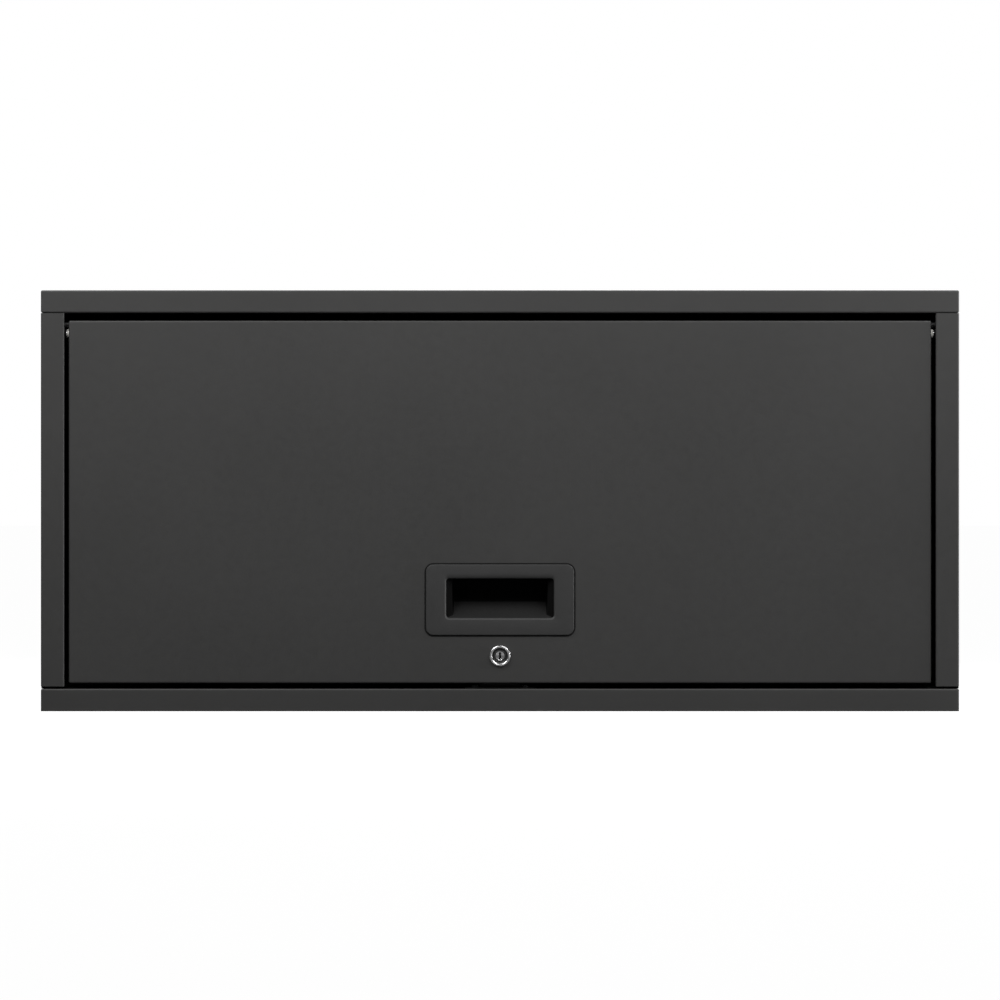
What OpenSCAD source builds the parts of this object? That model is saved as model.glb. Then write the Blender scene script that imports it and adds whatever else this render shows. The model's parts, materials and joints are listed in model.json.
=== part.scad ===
// Parcel drop box: a wide lockable steel cabinet with a flip-up door.
// The door swings up about a rod near its top edge, then slides back under the top.
// Frame: +X to the right, +Y to the back, +Z up; the origin is the middle of the underside.

/* [Cabinet] */
// Overall width
box_w = 914; // [700:1:1220]
// Overall depth, front bands to back flanges
box_d = 457; // [380:1:620]
// Overall height
box_h = 419; // [330:1:510]
// Sheet thickness of the case
sheet = 1; // [0.8:0.1:1.5]
// Outside radius of the sheet bends
bend_r = 1.6; // [1.6:0.1:2.5]
// Height of the top cap and of the base, seen as bands at the front
band_h = 22.4; // [18:0.1:30]
// Width of the front posts
post_w = 23.2; // [23:0.1:30]
// Depth of the return behind each front post's inner edge
post_return = 7.5; // [5:0.1:7.5]
// Width of the flanges and lips folded inwards
flange_w = 14; // [12:0.5:18]
// Gap between the foot of each front post and the base
post_relief = 2.4; // [1:0.1:4]

/* [Door] */
// Gap between each end of the door and the front post
side_gap = 4.6; // [4.2:0.1:6]
// Gap between the door and the top cap
top_gap = 7.8; // [6.5:0.1:9]
// Gap between the door and the base
bottom_gap = 5.6; // [5:0.1:8]
// How far the door's face lies behind the front of the cabinet
door_recess = 1.5; // [1:0.1:1.5]
// Thickness of the door, skin to liner
door_t = 20; // [20:0.5:22]
// Sheet thickness of the door's skin and liner
door_sheet = 0.8; // [0.6:0.1:1]
// Drop from the top edge of the door to the pivot rod
pivot_drop = 12.5; // [11:0.1:14]
// Distance from the door's face back to the pivot rod
pivot_setback = 12; // [11.5:0.1:13]
// How far the door slides back once it is up
slide_travel = 315; // [200:1:315]

/* [Runner] */
// Diameter of the pivot rod
rod_d = 6; // [5:0.1:6.5]
// Radial running clearance of the rod in its bushes and glides
run_gap = 0.05; // [0.03:0.01:0.1]
// Module of the rack and pinions
gear_m = 1.25; // [1.25:0.05:1.3]
// Number of teeth on each pinion
gear_n = 12; // [12:1:12]
// Pressure angle of the teeth
gear_angle = 25; // [24:0.5:26]
// Backlash, measured along the pitch line
gear_backlash = 0.2; // [0.15:0.01:0.3]
// Length of each glide
glide_l = 40; // [30:1:50]
// Gap between a glide and the track above and below it
glide_gap = 0.2; // [0.15:0.05:0.3]

/* [Handle and lock] */
// Width of the handle's bezel
bezel_w = 150.3; // [130:0.1:170]
// Height of the handle's bezel
bezel_h = 73.3; // [66:0.1:80]
// Corner radius of the bezel
bezel_r = 9; // [6:0.5:12]
// Thickness of the bezel in front of the door
bezel_t = 1.6; // [1.2:0.1:2]
// Width of the finger opening
pull_w = 107; // [90:0.5:112]
// Height of the finger opening
pull_h = 39; // [33:0.5:40]
// Depth of the finger pocket, from the door's face
pull_depth = 27; // [24:0.5:30]
// Height of the handle's middle above the underside of the door
handle_up = 83; // [80:0.5:100]
// Height of the lock's axis above the underside of the door
lock_up = 27.2; // [26:0.1:30]
// Diameter of the lock's face ring
lock_face_d = 20.6; // [20:0.1:24]
// Diameter of the lock's threaded barrel
lock_barrel_d = 17.5; // [16:0.1:18]
// Diameter of the turning plug
plug_d = 11; // [10:0.1:12]

/* [Fixing holes] */
// Spacing of the base bolt holes along the width
base_bolt_x = 790; // [500:1:800]
// Spacing of the base bolt holes along the depth
base_bolt_y = 360; // [260:1:370]
// Diameter of the base bolt holes
base_bolt_d = 9; // [7:0.5:11]
// Spacing of the wall bolt holes along the width
wall_bolt_x = 760; // [500:1:780]
// Spacing of the wall bolt holes along the height
wall_bolt_z = 240; // [150:1:250]
// Diameter of the wall bolt holes
wall_bolt_d = 7; // [5:0.5:9]

/* [Hidden] */

$fn = 48;
eps = 0.01;      // overreach of a cut, so that it leaves no skin
bend_steps = 5;  // flats in each quarter bend of sheet
touch = 0.3;     // gap left between pieces that bear on each other and move

// Places on the cabinet
front = -box_d / 2;
back = box_d / 2;
half_w = box_w / 2;
cap_z = box_h - band_h;
wall_x = half_w - sheet;
post_x = half_w - post_w;
return_y = front + post_return;
rail_h = 12;
bolt_x = min(base_bolt_x, box_w - 2 * (flange_w + base_bolt_d));
bolt_y = min(base_bolt_y, box_d - 2 * (flange_w + base_bolt_d));
back_bolt_x = min(wall_bolt_x, box_w - 2 * (flange_w + wall_bolt_d));
back_bolt_z = min(wall_bolt_z, box_h - 2 * (band_h + wall_bolt_d));

// Places on the door
door_half = post_x - side_gap;
door_z0 = band_h + bottom_gap;
door_z1 = cap_z - top_gap;
door_h = door_z1 - door_z0;
door_y0 = front + door_recess;
door_y1 = door_y0 + door_t;
skin_y = door_y0 + door_sheet;
liner_y = door_y1 - door_sheet;
lip_y = liner_y - door_sheet;
pivot_y = door_y0 + pivot_setback;
pivot_z = door_z1 - pivot_drop;

// Rack and pinion
pitch_r = gear_m * gear_n / 2;
tooth_pitch = PI * gear_m;
addendum = 0.8 * gear_m;
dedendum = 1.04 * gear_m;
rack_base = 2.3;

// Track: a channel with retaining lips and a mounting flange below it
track_t = 1.2;
track_web_t = 1;
track_in = pitch_r + dedendum + rack_base;  // half of the channel's inner height
track_lip = 4;
track_flange = 14;
track_web_x = wall_x - track_web_t;
track_lip_x = post_x + 1.7;
track_y0 = front + sheet;
track_y1 = back - 2 * sheet;

// Along the rod, from the middle outwards
bush_flange_t = 2.6;
bush_flange_d = rod_d + 2.4;
bush_od = rod_d + 1.4;
glide_x0 = track_lip_x + 1.5;
glide_x1 = glide_x0 + 8.6;
hub_x0 = door_half + bush_flange_t + 0.4;
hub_d = rod_d + 4;
pinion_x0 = glide_x1 + 0.5;
pinion_x1 = track_web_x - 1.6;
rod_half = track_web_x - 0.6;
rod_flat = rod_d / 2 - 0.6;

// Along the slide
bumper_t = 1.2;
glide_y0 = front + sheet + bumper_t + touch;
glide_y1 = glide_y0 + glide_l;
stop_y0 = min(glide_y1 + slide_travel + touch, track_y1 - 12);
stop_l = 10;

// Handle
opening_w = min(pull_w, bezel_w - 35);
handle_z = door_z0 + handle_up;
pull_z0 = handle_z - bezel_h / 2 + 18.7;
pull_z1 = pull_z0 + pull_h;
pull_mid_z = (pull_z0 + pull_z1) / 2;
pull_r = 3;
pull_y1 = door_y0 + pull_depth;
cup_t = 1.8;
cup_flange_t = 1.5;
ramp_rise = 15.5;
pocket_up = 9;
pocket_draft = 6.5;
boss_d = 5;
boss_x = bezel_w / 2 - 9.5;
boss_z = bezel_h / 2 - 7.5;
boss_l = 5.5;
boss_places = [for (x = [-1, 1] * boss_x, z = [-1, 1] * boss_z) [x, handle_z + z]];
push_nut_t = 1.2;
cut_gap = 1;        // clearance of the liner round the pocket

// Lock
lock_z = door_z0 + lock_up;
lock_face_t = 2.2;
lock_dish = 1.2;
lock_nut_t = 3.5;
lock_nut_af = 22;
washer_t = 0.8;
barrel_y1 = door_y1 + washer_t + lock_nut_t + 1.7;
cam_t = 2.5;
cam_y0 = barrel_y1 + 0.5;
cam_w = 13;
tail_w = 6;
keyway_w = 1.9;
keyway_h = 7;
keyway_depth = 12;

// Lock strike, low enough for the door to pass over it
strike_t = 1.5;
strike_half = 35;
strike_lip_half = 20;
strike_lip_y = cam_y0 - 0.8 - strike_t;
strike_top = door_z0 - 0.7;
cam_tip_z = band_h + 1.6;
cam_reach = lock_z - cam_tip_z;
strike_screw_x = 25;
strike_depth = 14;
strike_screw_y = strike_lip_y - strike_depth / 2;

// Fasteners
rivet_d = 4;
rivet_head_d = 8;
rivet_head_h = 1.2;
hole_gap = 0.1;
screw_d = 4;
screw_head_d = 8;
screw_head_h = 1.6;
rivets_per_side = 4;
back_rivets_per_side = 5;
tracks_screws_per_side = 3;

steel = [0.27, 0.27, 0.28];
dark_steel = [0.20, 0.20, 0.21];
zinc = [0.72, 0.73, 0.75];
chrome = [0.85, 0.86, 0.88];
black = [0.07, 0.07, 0.07];
nylon = [0.90, 0.90, 0.87];

// ---- helpers --------------------------------------------------------------

// Points of a quarter arc about [cx, cy], from angle a to a + 90.
function arc(cx, cy, r, a) =
    [for (i = [0:bend_steps]) [cx + r * cos(a + 90 * i / bend_steps), cy + r * sin(a + 90 * i / bend_steps)]];

// Outline of a w by h rectangle about the origin, its corners rounded to r.
function rounded(w, h, r) = concat(
    arc(w / 2 - r, h / 2 - r, r, 0), arc(-w / 2 + r, h / 2 - r, r, 90),
    arc(-w / 2 + r, -h / 2 + r, r, 180), arc(w / 2 - r, -h / 2 + r, r, 270));

// n places from -span / 2 to span / 2.
function spread(n, span) = [for (i = [0:n - 1]) -span / 2 + span * i / (n - 1)];

// Lays the XY drawing in the XZ plane and gives it thickness from y0 to y1.
module upright(y0, y1) {
    translate([0, y1, 0]) rotate([90, 0, 0]) linear_extrude(y1 - y0) children();
}

// Lays the XY drawing in the YZ plane and gives it thickness from x0 to x1.
module sideways(x0, x1) {
    translate([x0, 0, 0]) rotate([90, 0, 90]) linear_extrude(x1 - x0) children();
}

// A block about [0, 0] whose twelve edges are rounded to r.
module soft_block(w, d, h, r) {
    intersection() {
        linear_extrude(h) polygon(rounded(w, d, r));
        translate([0, 0, h / 2]) upright(-d / 2, d / 2) polygon(rounded(w, h, r));
        translate([0, 0, h / 2]) sideways(-w / 2, w / 2) polygon(rounded(d, h, r));
    }
}

// A pan of folded sheet, open below inside its lips.
module folded_pan(w, d, h, lip) {
    difference() {
        soft_block(w, d, h, bend_r);
        translate([0, 0, sheet]) soft_block(w - 2 * sheet, d - 2 * sheet, h - 2 * sheet, bend_r - sheet);
        translate([-w / 2 + lip, -d / 2 + lip, -eps]) cube([w - 2 * lip, d - 2 * lip, 2 * sheet]);
    }
}

// A hat-shaped stiffener of sheet t: w wide over its feet, d deep, running along X for l.
module hat(l, w, d, t) {
    foot = w / 4;
    sideways(-l / 2, l / 2) polygon([
        [-w / 2, 0], [-w / 2 + foot, 0], [-w / 2 + foot, -d + t], [w / 2 - foot, -d + t],
        [w / 2 - foot, 0], [w / 2, 0], [w / 2, -t], [w / 2 - foot + t, -t],
        [w / 2 - foot + t, -d], [-w / 2 + foot - t, -d], [-w / 2 + foot - t, -t], [-w / 2, -t]]);
}

// A blind rivet along +Z through stock of thickness grip: a domed head below and a flat tail above.
module rivet(grip) {
    translate([0, 0, -rivet_head_h]) cylinder(h = rivet_head_h, d1 = rivet_head_d - 2, d2 = rivet_head_d);
    cylinder(h = grip, d = rivet_d);
    translate([0, 0, grip]) cylinder(h = rivet_head_h, d = rivet_head_d - 2);
}

// A pan-head screw along -Z, its head resting on Z = 0, with a cross recess.
module pan_screw(l, d = screw_d) {
    head_d = 2 * d;
    difference() {
        cylinder(h = screw_head_h, d1 = head_d, d2 = head_d - 1.4);
        for (a = [0, 90])
            rotate([0, 0, a]) translate([-head_d / 4, -0.4, screw_head_h - 0.9]) cube([head_d / 2, 0.8, 1]);
    }
    translate([0, 0, -l]) cylinder(h = l + eps, d = d);
}

// Draws its children on both sides of the cabinet.
module both_sides() {
    children();
    mirror([1, 0, 0]) children();
}

// ---- cabinet --------------------------------------------------------------

rivet_x = half_w - flange_w / 2;
rivet_ys = spread(rivets_per_side, box_d - 90);
back_rivet_zs = [for (z = spread(back_rivets_per_side, cap_z - band_h - 40)) (cap_z + band_h) / 2 + z];

// Holes for the rivets that join the side panels to the cap and the base.
module case_rivet_holes(z0, z1) {
    both_sides()
        for (y = rivet_ys)
            translate([rivet_x, y, z0]) cylinder(h = z1 - z0, d = rivet_d + 2 * hole_gap);
}

module top_cap() color(steel) difference() {
    translate([0, 0, cap_z]) folded_pan(box_w, box_d, band_h, flange_w);
    case_rivet_holes(cap_z - 1, cap_z + 2 * sheet);
}

module base_holes(d, z0, z1) {
    for (x = [-1, 1] * bolt_x / 2, y = [-1, 1] * bolt_y / 2)
        translate([x, y, z0]) cylinder(h = z1 - z0, d = d);
}

// Base: a deck with a skirt folded down all round it.
module base_pan() color(steel) difference() {
    translate([0, 0, -band_h]) soft_block(box_w, box_d, 2 * band_h, bend_r);
    translate([0, 0, sheet - band_h])
        soft_block(box_w - 2 * sheet, box_d - 2 * sheet, 2 * (band_h - sheet), bend_r - sheet);
    translate([-box_w, -box_d, -box_h]) cube([2 * box_w, 2 * box_d, box_h]);
    base_holes(base_bolt_d, band_h - 2 * sheet, band_h + 1);
    case_rivet_holes(band_h - 2 * sheet, band_h + 1);
    for (x = [-1, 1] * strike_screw_x)
        translate([x, strike_screw_y, band_h - 2 * sheet])
            cylinder(h = 3 * sheet, d = screw_d + 2 * hole_gap);
}

// Angles along the foot of the skirt, which the cabinet rests on.
module base_rails() color(dark_steel) {
    angle = [[0, 0], [flange_w, 0], [flange_w, sheet], [sheet, sheet], [sheet, rail_h], [0, rail_h]];
    for (k = [0, 1]) mirror([0, k, 0]) translate([0, front + sheet, 0])
        sideways(-wall_x + bend_r, wall_x - bend_r) polygon(angle);
    for (k = [0, 1]) mirror([k, 0, 0]) translate([-wall_x, 0, 0])
        upright(front + sheet + flange_w + touch, back - sheet - flange_w - touch) polygon(angle);
}

// One side panel, on the right: wall, front post with its return, back, top and bottom flanges.
module side_panel() {
    r = bend_r;
    ri = bend_r - sheet;
    outline = concat(
        [[post_x, return_y]],
        arc(post_x + r, front + r, r, 180), arc(half_w - r, front + r, r, 270),
        arc(half_w - r, back - r, r, 0),
        [[half_w - flange_w, back], [half_w - flange_w, back - sheet]],
        [for (i = [bend_steps:-1:0]) arc(wall_x - ri, back - sheet - ri, ri, 0)[i]],
        [for (i = [bend_steps:-1:0]) arc(wall_x - ri, front + sheet + ri, ri, 270)[i]],
        [for (i = [bend_steps:-1:0]) arc(post_x + sheet + ri, front + sheet + ri, ri, 180)[i]],
        [[post_x + sheet, return_y]]);
    difference() {
        union() {
            translate([0, 0, band_h]) linear_extrude(cap_z - band_h) polygon(outline);
            for (z = [band_h, cap_z - sheet])
                translate([half_w - flange_w, front + 20, z]) cube([flange_w - sheet / 2, box_d - 24, sheet]);
        }
        // relief at the foot of the post, and a finer one at its head
        translate([post_x - 1, front - 1, band_h - 1]) cube([post_w + 2, post_return + 2, post_relief + 1]);
        translate([post_x - 1, front - 1, cap_z - touch]) cube([post_w + 2, post_return + 2, 1]);
        case_rivet_holes(band_h - 1, band_h + 2 * sheet);
        case_rivet_holes(cap_z - 2 * sheet, cap_z + 1);
        back_rivet_holes();
        track_screw_holes();
    }
}

module left_side_panel() color(steel) mirror([1, 0, 0]) side_panel();

module right_side_panel() color(steel) side_panel();

module back_rivet_holes() {
    both_sides()
        for (z = back_rivet_zs)
            translate([rivet_x, back + 1, z]) rotate([90, 0, 0])
                cylinder(h = 4 * sheet, d = rivet_d + 2 * hole_gap);
}

module back_panel() color(steel) difference() {
    translate([-wall_x + 1, back - 2 * sheet, band_h]) cube([2 * (wall_x - 1), sheet, cap_z - band_h]);
    back_rivet_holes();
    for (x = [-1, 1] * back_bolt_x / 2, z = [-1, 1] * back_bolt_z / 2)
        translate([x, back + 1, (band_h + cap_z) / 2 + z]) rotate([90, 0, 0])
            cylinder(h = 5, d = wall_bolt_d);
}

stiffener_w = 60;
stiffener_d = 12;

module top_stiffener() color(dark_steel)
    translate([0, 0, box_h - sheet]) hat(box_w - 2 * flange_w - 4, stiffener_w, stiffener_d, door_sheet);

module deck_stiffener() color(dark_steel)
    translate([0, 0, band_h - sheet]) hat(box_w - 2 * flange_w - 4, stiffener_w, stiffener_d, door_sheet);

// Tubes that carry the bolt load from the deck down to whatever the cabinet stands on.
module anchor_tubes() color(zinc) difference() {
    base_holes(base_bolt_d + 6, 0, band_h - sheet);
    base_holes(base_bolt_d, -1, band_h);
}

module case_rivets() color(dark_steel) both_sides()
    for (y = rivet_ys) {
        translate([rivet_x, y, cap_z - sheet]) rivet(2 * sheet);
        translate([rivet_x, y, band_h + sheet]) mirror([0, 0, 1]) rivet(2 * sheet);
    }

module back_rivets() color(dark_steel) both_sides()
    for (z = back_rivet_zs)
        translate([rivet_x, back, z]) rotate([90, 0, 0]) rivet(2 * sheet);

// ---- tracks ---------------------------------------------------------------

track_screw_z = pivot_z - track_in - track_t - track_flange / 2;
track_screw_ys = spread(tracks_screws_per_side, box_d - 80);

module track_screw_holes() {
    both_sides()
        for (y = track_screw_ys)
            translate([track_web_x - 1, y, track_screw_z]) rotate([0, 90, 0])
                cylinder(h = 1 + track_web_t + sheet - 0.2, d = screw_d + 2 * hole_gap);
}

// Channel section in XZ, open towards the middle of the cabinet.
module track() {
    h = track_in + track_t;
    difference() {
        translate([0, 0, pivot_z]) upright(front + bend_r + hole_gap, track_y1) polygon([
            [wall_x, -h - track_flange], [wall_x, h], [track_lip_x, h],
            [track_lip_x, h - track_t - track_lip],
            [track_lip_x + 1, h - track_t - track_lip], [track_lip_x + 1, h - track_t],
            [track_web_x, h - track_t], [track_web_x, -h + track_t], [track_lip_x + 1, -h + track_t],
            [track_lip_x + 1, -h + track_t + track_lip], [track_lip_x, -h + track_t + track_lip],
            [track_lip_x, -h], [track_web_x, -h], [track_web_x, -h - track_flange]]);
        track_screw_holes();
    }
}

module left_track() color(zinc) mirror([1, 0, 0]) track();

module right_track() color(zinc) track();

module track_screws() color(zinc) both_sides()
    for (y = track_screw_ys)
        translate([track_web_x, y, track_screw_z]) rotate([0, -90, 0]) pan_screw(2 * sheet - touch);

// Toothed strip on the floor of the track. A tooth space lies under the rod at rest.
module rack() {
    slope = tan(gear_angle);
    half_tooth = tooth_pitch / 4 - gear_backlash / 4;
    pitch_z = pivot_z - pitch_r;
    floor_z = pivot_z - track_in;
    y_end = stop_y0 + stop_l;
    first = -floor((pivot_y - track_y0 - 2) / tooth_pitch) + 0.5;
    last = floor((y_end - pivot_y) / tooth_pitch) - 0.5;
    teeth = [for (k = [first:1:last]) pivot_y + k * tooth_pitch];
    profile = concat(
        [[track_y0 + 2 * touch, floor_z], [track_y0 + 2 * touch, pitch_z - dedendum]],
        [for (y = teeth) each [
            [y - half_tooth - dedendum * slope, pitch_z - dedendum],
            [y - half_tooth + addendum * slope, pitch_z + addendum],
            [y + half_tooth - addendum * slope, pitch_z + addendum],
            [y + half_tooth + dedendum * slope, pitch_z - dedendum]]],
        [[y_end, pitch_z - dedendum], [y_end, floor_z]]);
    sideways(pinion_x0 - 0.2, track_web_x) polygon(profile);
}

module left_rack() color(nylon) mirror([1, 0, 0]) rack();

module right_rack() color(nylon) rack();

module rear_stops() color(black) both_sides()
    translate([glide_x0, stop_y0, pivot_z - track_in]) cube([glide_x1 - glide_x0, stop_l, 2 * track_in]);

module front_bumpers() color(black) both_sides()
    translate([glide_x0, track_y0, pivot_z - track_in + 3])
        cube([glide_x1 - glide_x0, bumper_t, 2 * track_in - 6]);

// ---- strike ---------------------------------------------------------------

module lock_strike() color(dark_steel) difference() {
    union() {
        translate([-strike_half, strike_lip_y - strike_depth, band_h])
            cube([2 * strike_half, strike_depth + strike_t, strike_t]);
        translate([-strike_lip_half, strike_lip_y, band_h])
            cube([2 * strike_lip_half, strike_t, strike_top - band_h]);
    }
    for (x = [-1, 1] * strike_screw_x)
        translate([x, strike_screw_y, band_h - 1]) cylinder(h = 4, d = screw_d + 2 * hole_gap);
}

module strike_screws() color(zinc)
    for (x = [-1, 1] * strike_screw_x)
        translate([x, strike_screw_y, band_h + strike_t]) pan_screw(6);

// ---- glides and rod -------------------------------------------------------

// Nylon glide in the track, with a hub that reaches in to the door.
module glide() {
    difference() {
        union() {
            translate([glide_x0, (glide_y0 + glide_y1) / 2, pivot_z])
                rotate([90, 0, 90]) linear_extrude(glide_x1 - glide_x0)
                    polygon(rounded(glide_l, 2 * (track_in - glide_gap), 3));
            translate([hub_x0, pivot_y, pivot_z]) rotate([0, 90, 0])
                cylinder(h = glide_x0 - hub_x0 + 1, d = hub_d);
        }
        translate([hub_x0 - 1, pivot_y, pivot_z]) rotate([0, 90, 0])
            cylinder(h = 20, d = rod_d + 2 * run_gap);
        // pocket that saves material behind the bore
        translate([glide_x0 - 1, pivot_y + 10, pivot_z - 5]) cube([5, glide_y1 - pivot_y - 16, 10]);
    }
}

module left_glide() color(black) mirror([1, 0, 0]) glide();

module right_glide() color(black) glide();

module rod_section(r, flat) {
    intersection() {
        circle(r = r);
        translate([-r - 1, -flat]) square([2 * r + 2, r + flat + 1]);
    }
}

// Round rod with a flat at each end that drives the pinions.
module pivot_rod() color(zinc) {
    translate([-pinion_x0, pivot_y, pivot_z]) rotate([0, 90, 0]) cylinder(h = 2 * pinion_x0, d = rod_d);
    both_sides() translate([0, pivot_y, pivot_z]) sideways(pinion_x0 - eps, rod_half)
        rod_section(rod_d / 2, rod_flat);
}

// Involute flank: the point at radius r on the involute of a base circle.
function base_r() = pitch_r * cos(gear_angle);
function roll_angle(r) = let (c = acos(min(1, base_r() / r))) tan(c) * 180 / PI - c;

module pinion_section() {
    tip_r = pitch_r + addendum;
    root_r = pitch_r - dedendum;
    half_deg = 90 / gear_n - gear_backlash / 4 / pitch_r * 180 / PI;
    flank = [for (i = [0:4]) base_r() + (tip_r - base_r()) * i / 4];
    tooth = concat(
        [[root_r, half_deg + roll_angle(pitch_r)]],
        [for (r = flank) [r, half_deg + roll_angle(pitch_r) - roll_angle(r)]]);
    // each tooth is drawn about straight down, up one flank and down the other
    polygon([for (k = [0:gear_n - 1]) each concat(
        [for (p = tooth) [p[0] * cos(-90 + k * 360 / gear_n - p[1]), p[0] * sin(-90 + k * 360 / gear_n - p[1])]],
        [for (i = [len(tooth) - 1:-1:0]) let (p = tooth[i])
            [p[0] * cos(-90 + k * 360 / gear_n + p[1]), p[0] * sin(-90 + k * 360 / gear_n + p[1])]])]);
}

module pinion() {
    translate([0, pivot_y, pivot_z]) sideways(pinion_x0, pinion_x1) difference() {
        pinion_section();
        rod_section(rod_d / 2 + run_gap, rod_flat + run_gap);
    }
}

module left_pinion() color(nylon) mirror([1, 0, 0]) pinion();

module right_pinion() color(nylon) pinion();

// ---- door -----------------------------------------------------------------

screw_gap = 0.15;

module along_y(x, z, y0, y1, d) {
    translate([x, y1, z]) rotate([90, 0, 0]) cylinder(h = y1 - y0, d = d);
}

// Places of the screws that hold the liner to the skin's back lips.
liner_screw_places = concat(
    [for (x = spread(5, 2 * door_half - 40), z = [door_z0 + 6, door_z1 - 6]) [x, z]],
    [for (x = [-1, 1] * (door_half - 6)) [x, (door_z0 + door_z1) / 2]]);

// Outer pan of the door: face, four returns and lips at the back.
module door_skin() color(steel) difference() {
    translate([0, door_y0, (door_z0 + door_z1) / 2]) rotate([-90, 0, 0]) difference() {
        soft_pan_block(2 * door_half, door_h, liner_y - door_y0, bend_r);
        translate([0, 0, door_sheet]) soft_pan_block(2 * (door_half - door_sheet), door_h - 2 * door_sheet,
            liner_y - door_y0 - 2 * door_sheet, bend_r - door_sheet);
        translate([-door_half + 12, -door_h / 2 + 12, 5]) cube([2 * (door_half - 12), door_h - 24, door_t]);
    }
    translate([0, 0, pull_mid_z]) upright(door_y0 - 1, skin_y + 1)
        polygon(rounded(opening_w + 2 * cup_t + 2 * hole_gap, pull_h + 2 * cup_t + 2 * hole_gap, pull_r + cup_t));
    for (p = boss_places) along_y(p[0], p[1], door_y0 - 1, skin_y + 1, boss_d + 2 * hole_gap);
    along_y(0, lock_z, door_y0 - 1, skin_y + 1, lock_barrel_d + 2 * hole_gap);
    for (p = liner_screw_places) along_y(p[0], p[1], lip_y - 1, liner_y + 1, screw_d - 2 * screw_gap);
    both_sides() translate([door_half - 2, pivot_y, pivot_z]) rotate([0, 90, 0])
        cylinder(h = 4, d = bush_od + 2 * hole_gap);
    both_sides() stop_pin_hole();
}

// A block about [0, 0] from Z = 0 to h, rounded on its Z = 0 edges and its upright ones.
module soft_pan_block(w, d, h, r) {
    intersection() {
        linear_extrude(h) polygon(rounded(w, d, r));
        upright(-d / 2, d / 2) polygon(concat(
            [[w / 2, h], [-w / 2, h]], arc(-w / 2 + r, r, r, 180), arc(w / 2 - r, r, r, 270)));
        sideways(-w / 2, w / 2) polygon(concat(
            [[d / 2, h], [-d / 2, h]], arc(-d / 2 + r, r, r, 180), arc(d / 2 - r, r, r, 270)));
    }
}

// Inner sheet of the door.
module door_liner() color(dark_steel) difference() {
    translate([-door_half + 1, liner_y, door_z0 + 1]) cube([2 * (door_half - 1), door_sheet, door_h - 2]);
    translate([0, 0, pull_mid_z + pocket_up / 2]) upright(liner_y - 1, door_y1 + 1)
        polygon(rounded(opening_w + 2 * (cup_t + cut_gap), pull_h + pocket_up + 2 * (cup_t + cut_gap), pull_r));
    along_y(0, lock_z, liner_y - 1, door_y1 + 1, lock_barrel_d + 2 * hole_gap);
    for (p = liner_screw_places) along_y(p[0], p[1], liner_y - 1, door_y1 + 1, screw_d + 2 * hole_gap);
}

module liner_screws() color(zinc)
    for (p = liner_screw_places)
        translate([p[0], door_y1, p[1]]) rotate([-90, 0, 0]) pan_screw(5, screw_d - 2 * screw_gap - 0.1);

stiff_x = door_half / 2;

// Two upright hats between the skin and the liner, below the rod.
module door_stiffeners() color(dark_steel) both_sides() {
    z1 = pivot_z - rod_d / 2 - 8;
    translate([stiff_x, skin_y, (door_z0 + 14 + z1) / 2]) rotate([90, 0, 0]) rotate([0, 0, 90])
        hat(z1 - door_z0 - 14, 50, liner_y - skin_y, door_sheet);
}

bracket_x1 = door_half - door_sheet;
bracket_t = 2;
bracket_z0 = pivot_z - 36;
bracket_z1 = door_z1 - bend_r - hole_gap;
bracket_y0 = door_y0 + bend_r + hole_gap;
bracket_y1 = lip_y - touch;
bracket_rivet_zs = [pivot_z - 28, pivot_z - 16];

module hinge_bracket() {
    difference() {
        union() {
            translate([bracket_x1 - bracket_t, bracket_y0, bracket_z0])
                cube([bracket_t, bracket_y1 - bracket_y0, bracket_z1 - bracket_z0]);
            translate([bracket_x1 - 16, bracket_y0, bracket_z0]) cube([16, bracket_t, 26]);
        }
        translate([bracket_x1 - 5, pivot_y, pivot_z]) rotate([0, 90, 0])
            cylinder(h = 10, d = bush_od + 2 * hole_gap);
        stop_pin_hole();
        bracket_rivet_holes();
    }
}

module bracket_rivet_holes() {
    for (z = bracket_rivet_zs)
        translate([bracket_x1 - 5, (bracket_y0 + bracket_y1) / 2 + 2, z]) rotate([0, 90, 0])
            cylinder(h = 10, d = rivet_d + 2 * hole_gap);
}

module left_hinge_bracket() color(zinc) mirror([1, 0, 0]) hinge_bracket();

module right_hinge_bracket() color(zinc) hinge_bracket();

// Flush rivets through the bracket and the end of the skin.
module bracket_rivets() color(dark_steel) both_sides()
    for (z = bracket_rivet_zs)
        translate([bracket_x1 - bracket_t - 1, (bracket_y0 + bracket_y1) / 2 + 2, z]) rotate([0, 90, 0]) {
            cylinder(h = 1, d = rivet_head_d - 1);
            cylinder(h = bracket_t + 1, d = rivet_d);
        }

// Nylon bush on the rod: a sleeve through the bracket and a flange that shows in the gap.
module pivot_bush() {
    translate([0, pivot_y, pivot_z]) rotate([0, 90, 0]) difference() {
        union() {
            translate([0, 0, bracket_x1 - bracket_t - 2])
                cylinder(h = bracket_t + door_sheet + 2 + eps, d = bush_od);
            translate([0, 0, door_half]) cylinder(h = bush_flange_t, d = bush_flange_d);
        }
        translate([0, 0, bracket_x1 - 10]) cylinder(h = 20, d = rod_d + 2 * run_gap);
    }
}

module left_pivot_bush() color(nylon) mirror([1, 0, 0]) pivot_bush();

module right_pivot_bush() color(nylon) pivot_bush();

stop_pin_d = 4.6;
stop_pin_y = return_y + touch + stop_pin_d / 2;
stop_pin_z = pivot_z + 8.7;

module stop_pin_hole() {
    translate([bracket_x1 - 5, stop_pin_y, stop_pin_z]) rotate([0, 90, 0])
        cylinder(h = 10, d = 3 + 2 * hole_gap);
}

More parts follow.
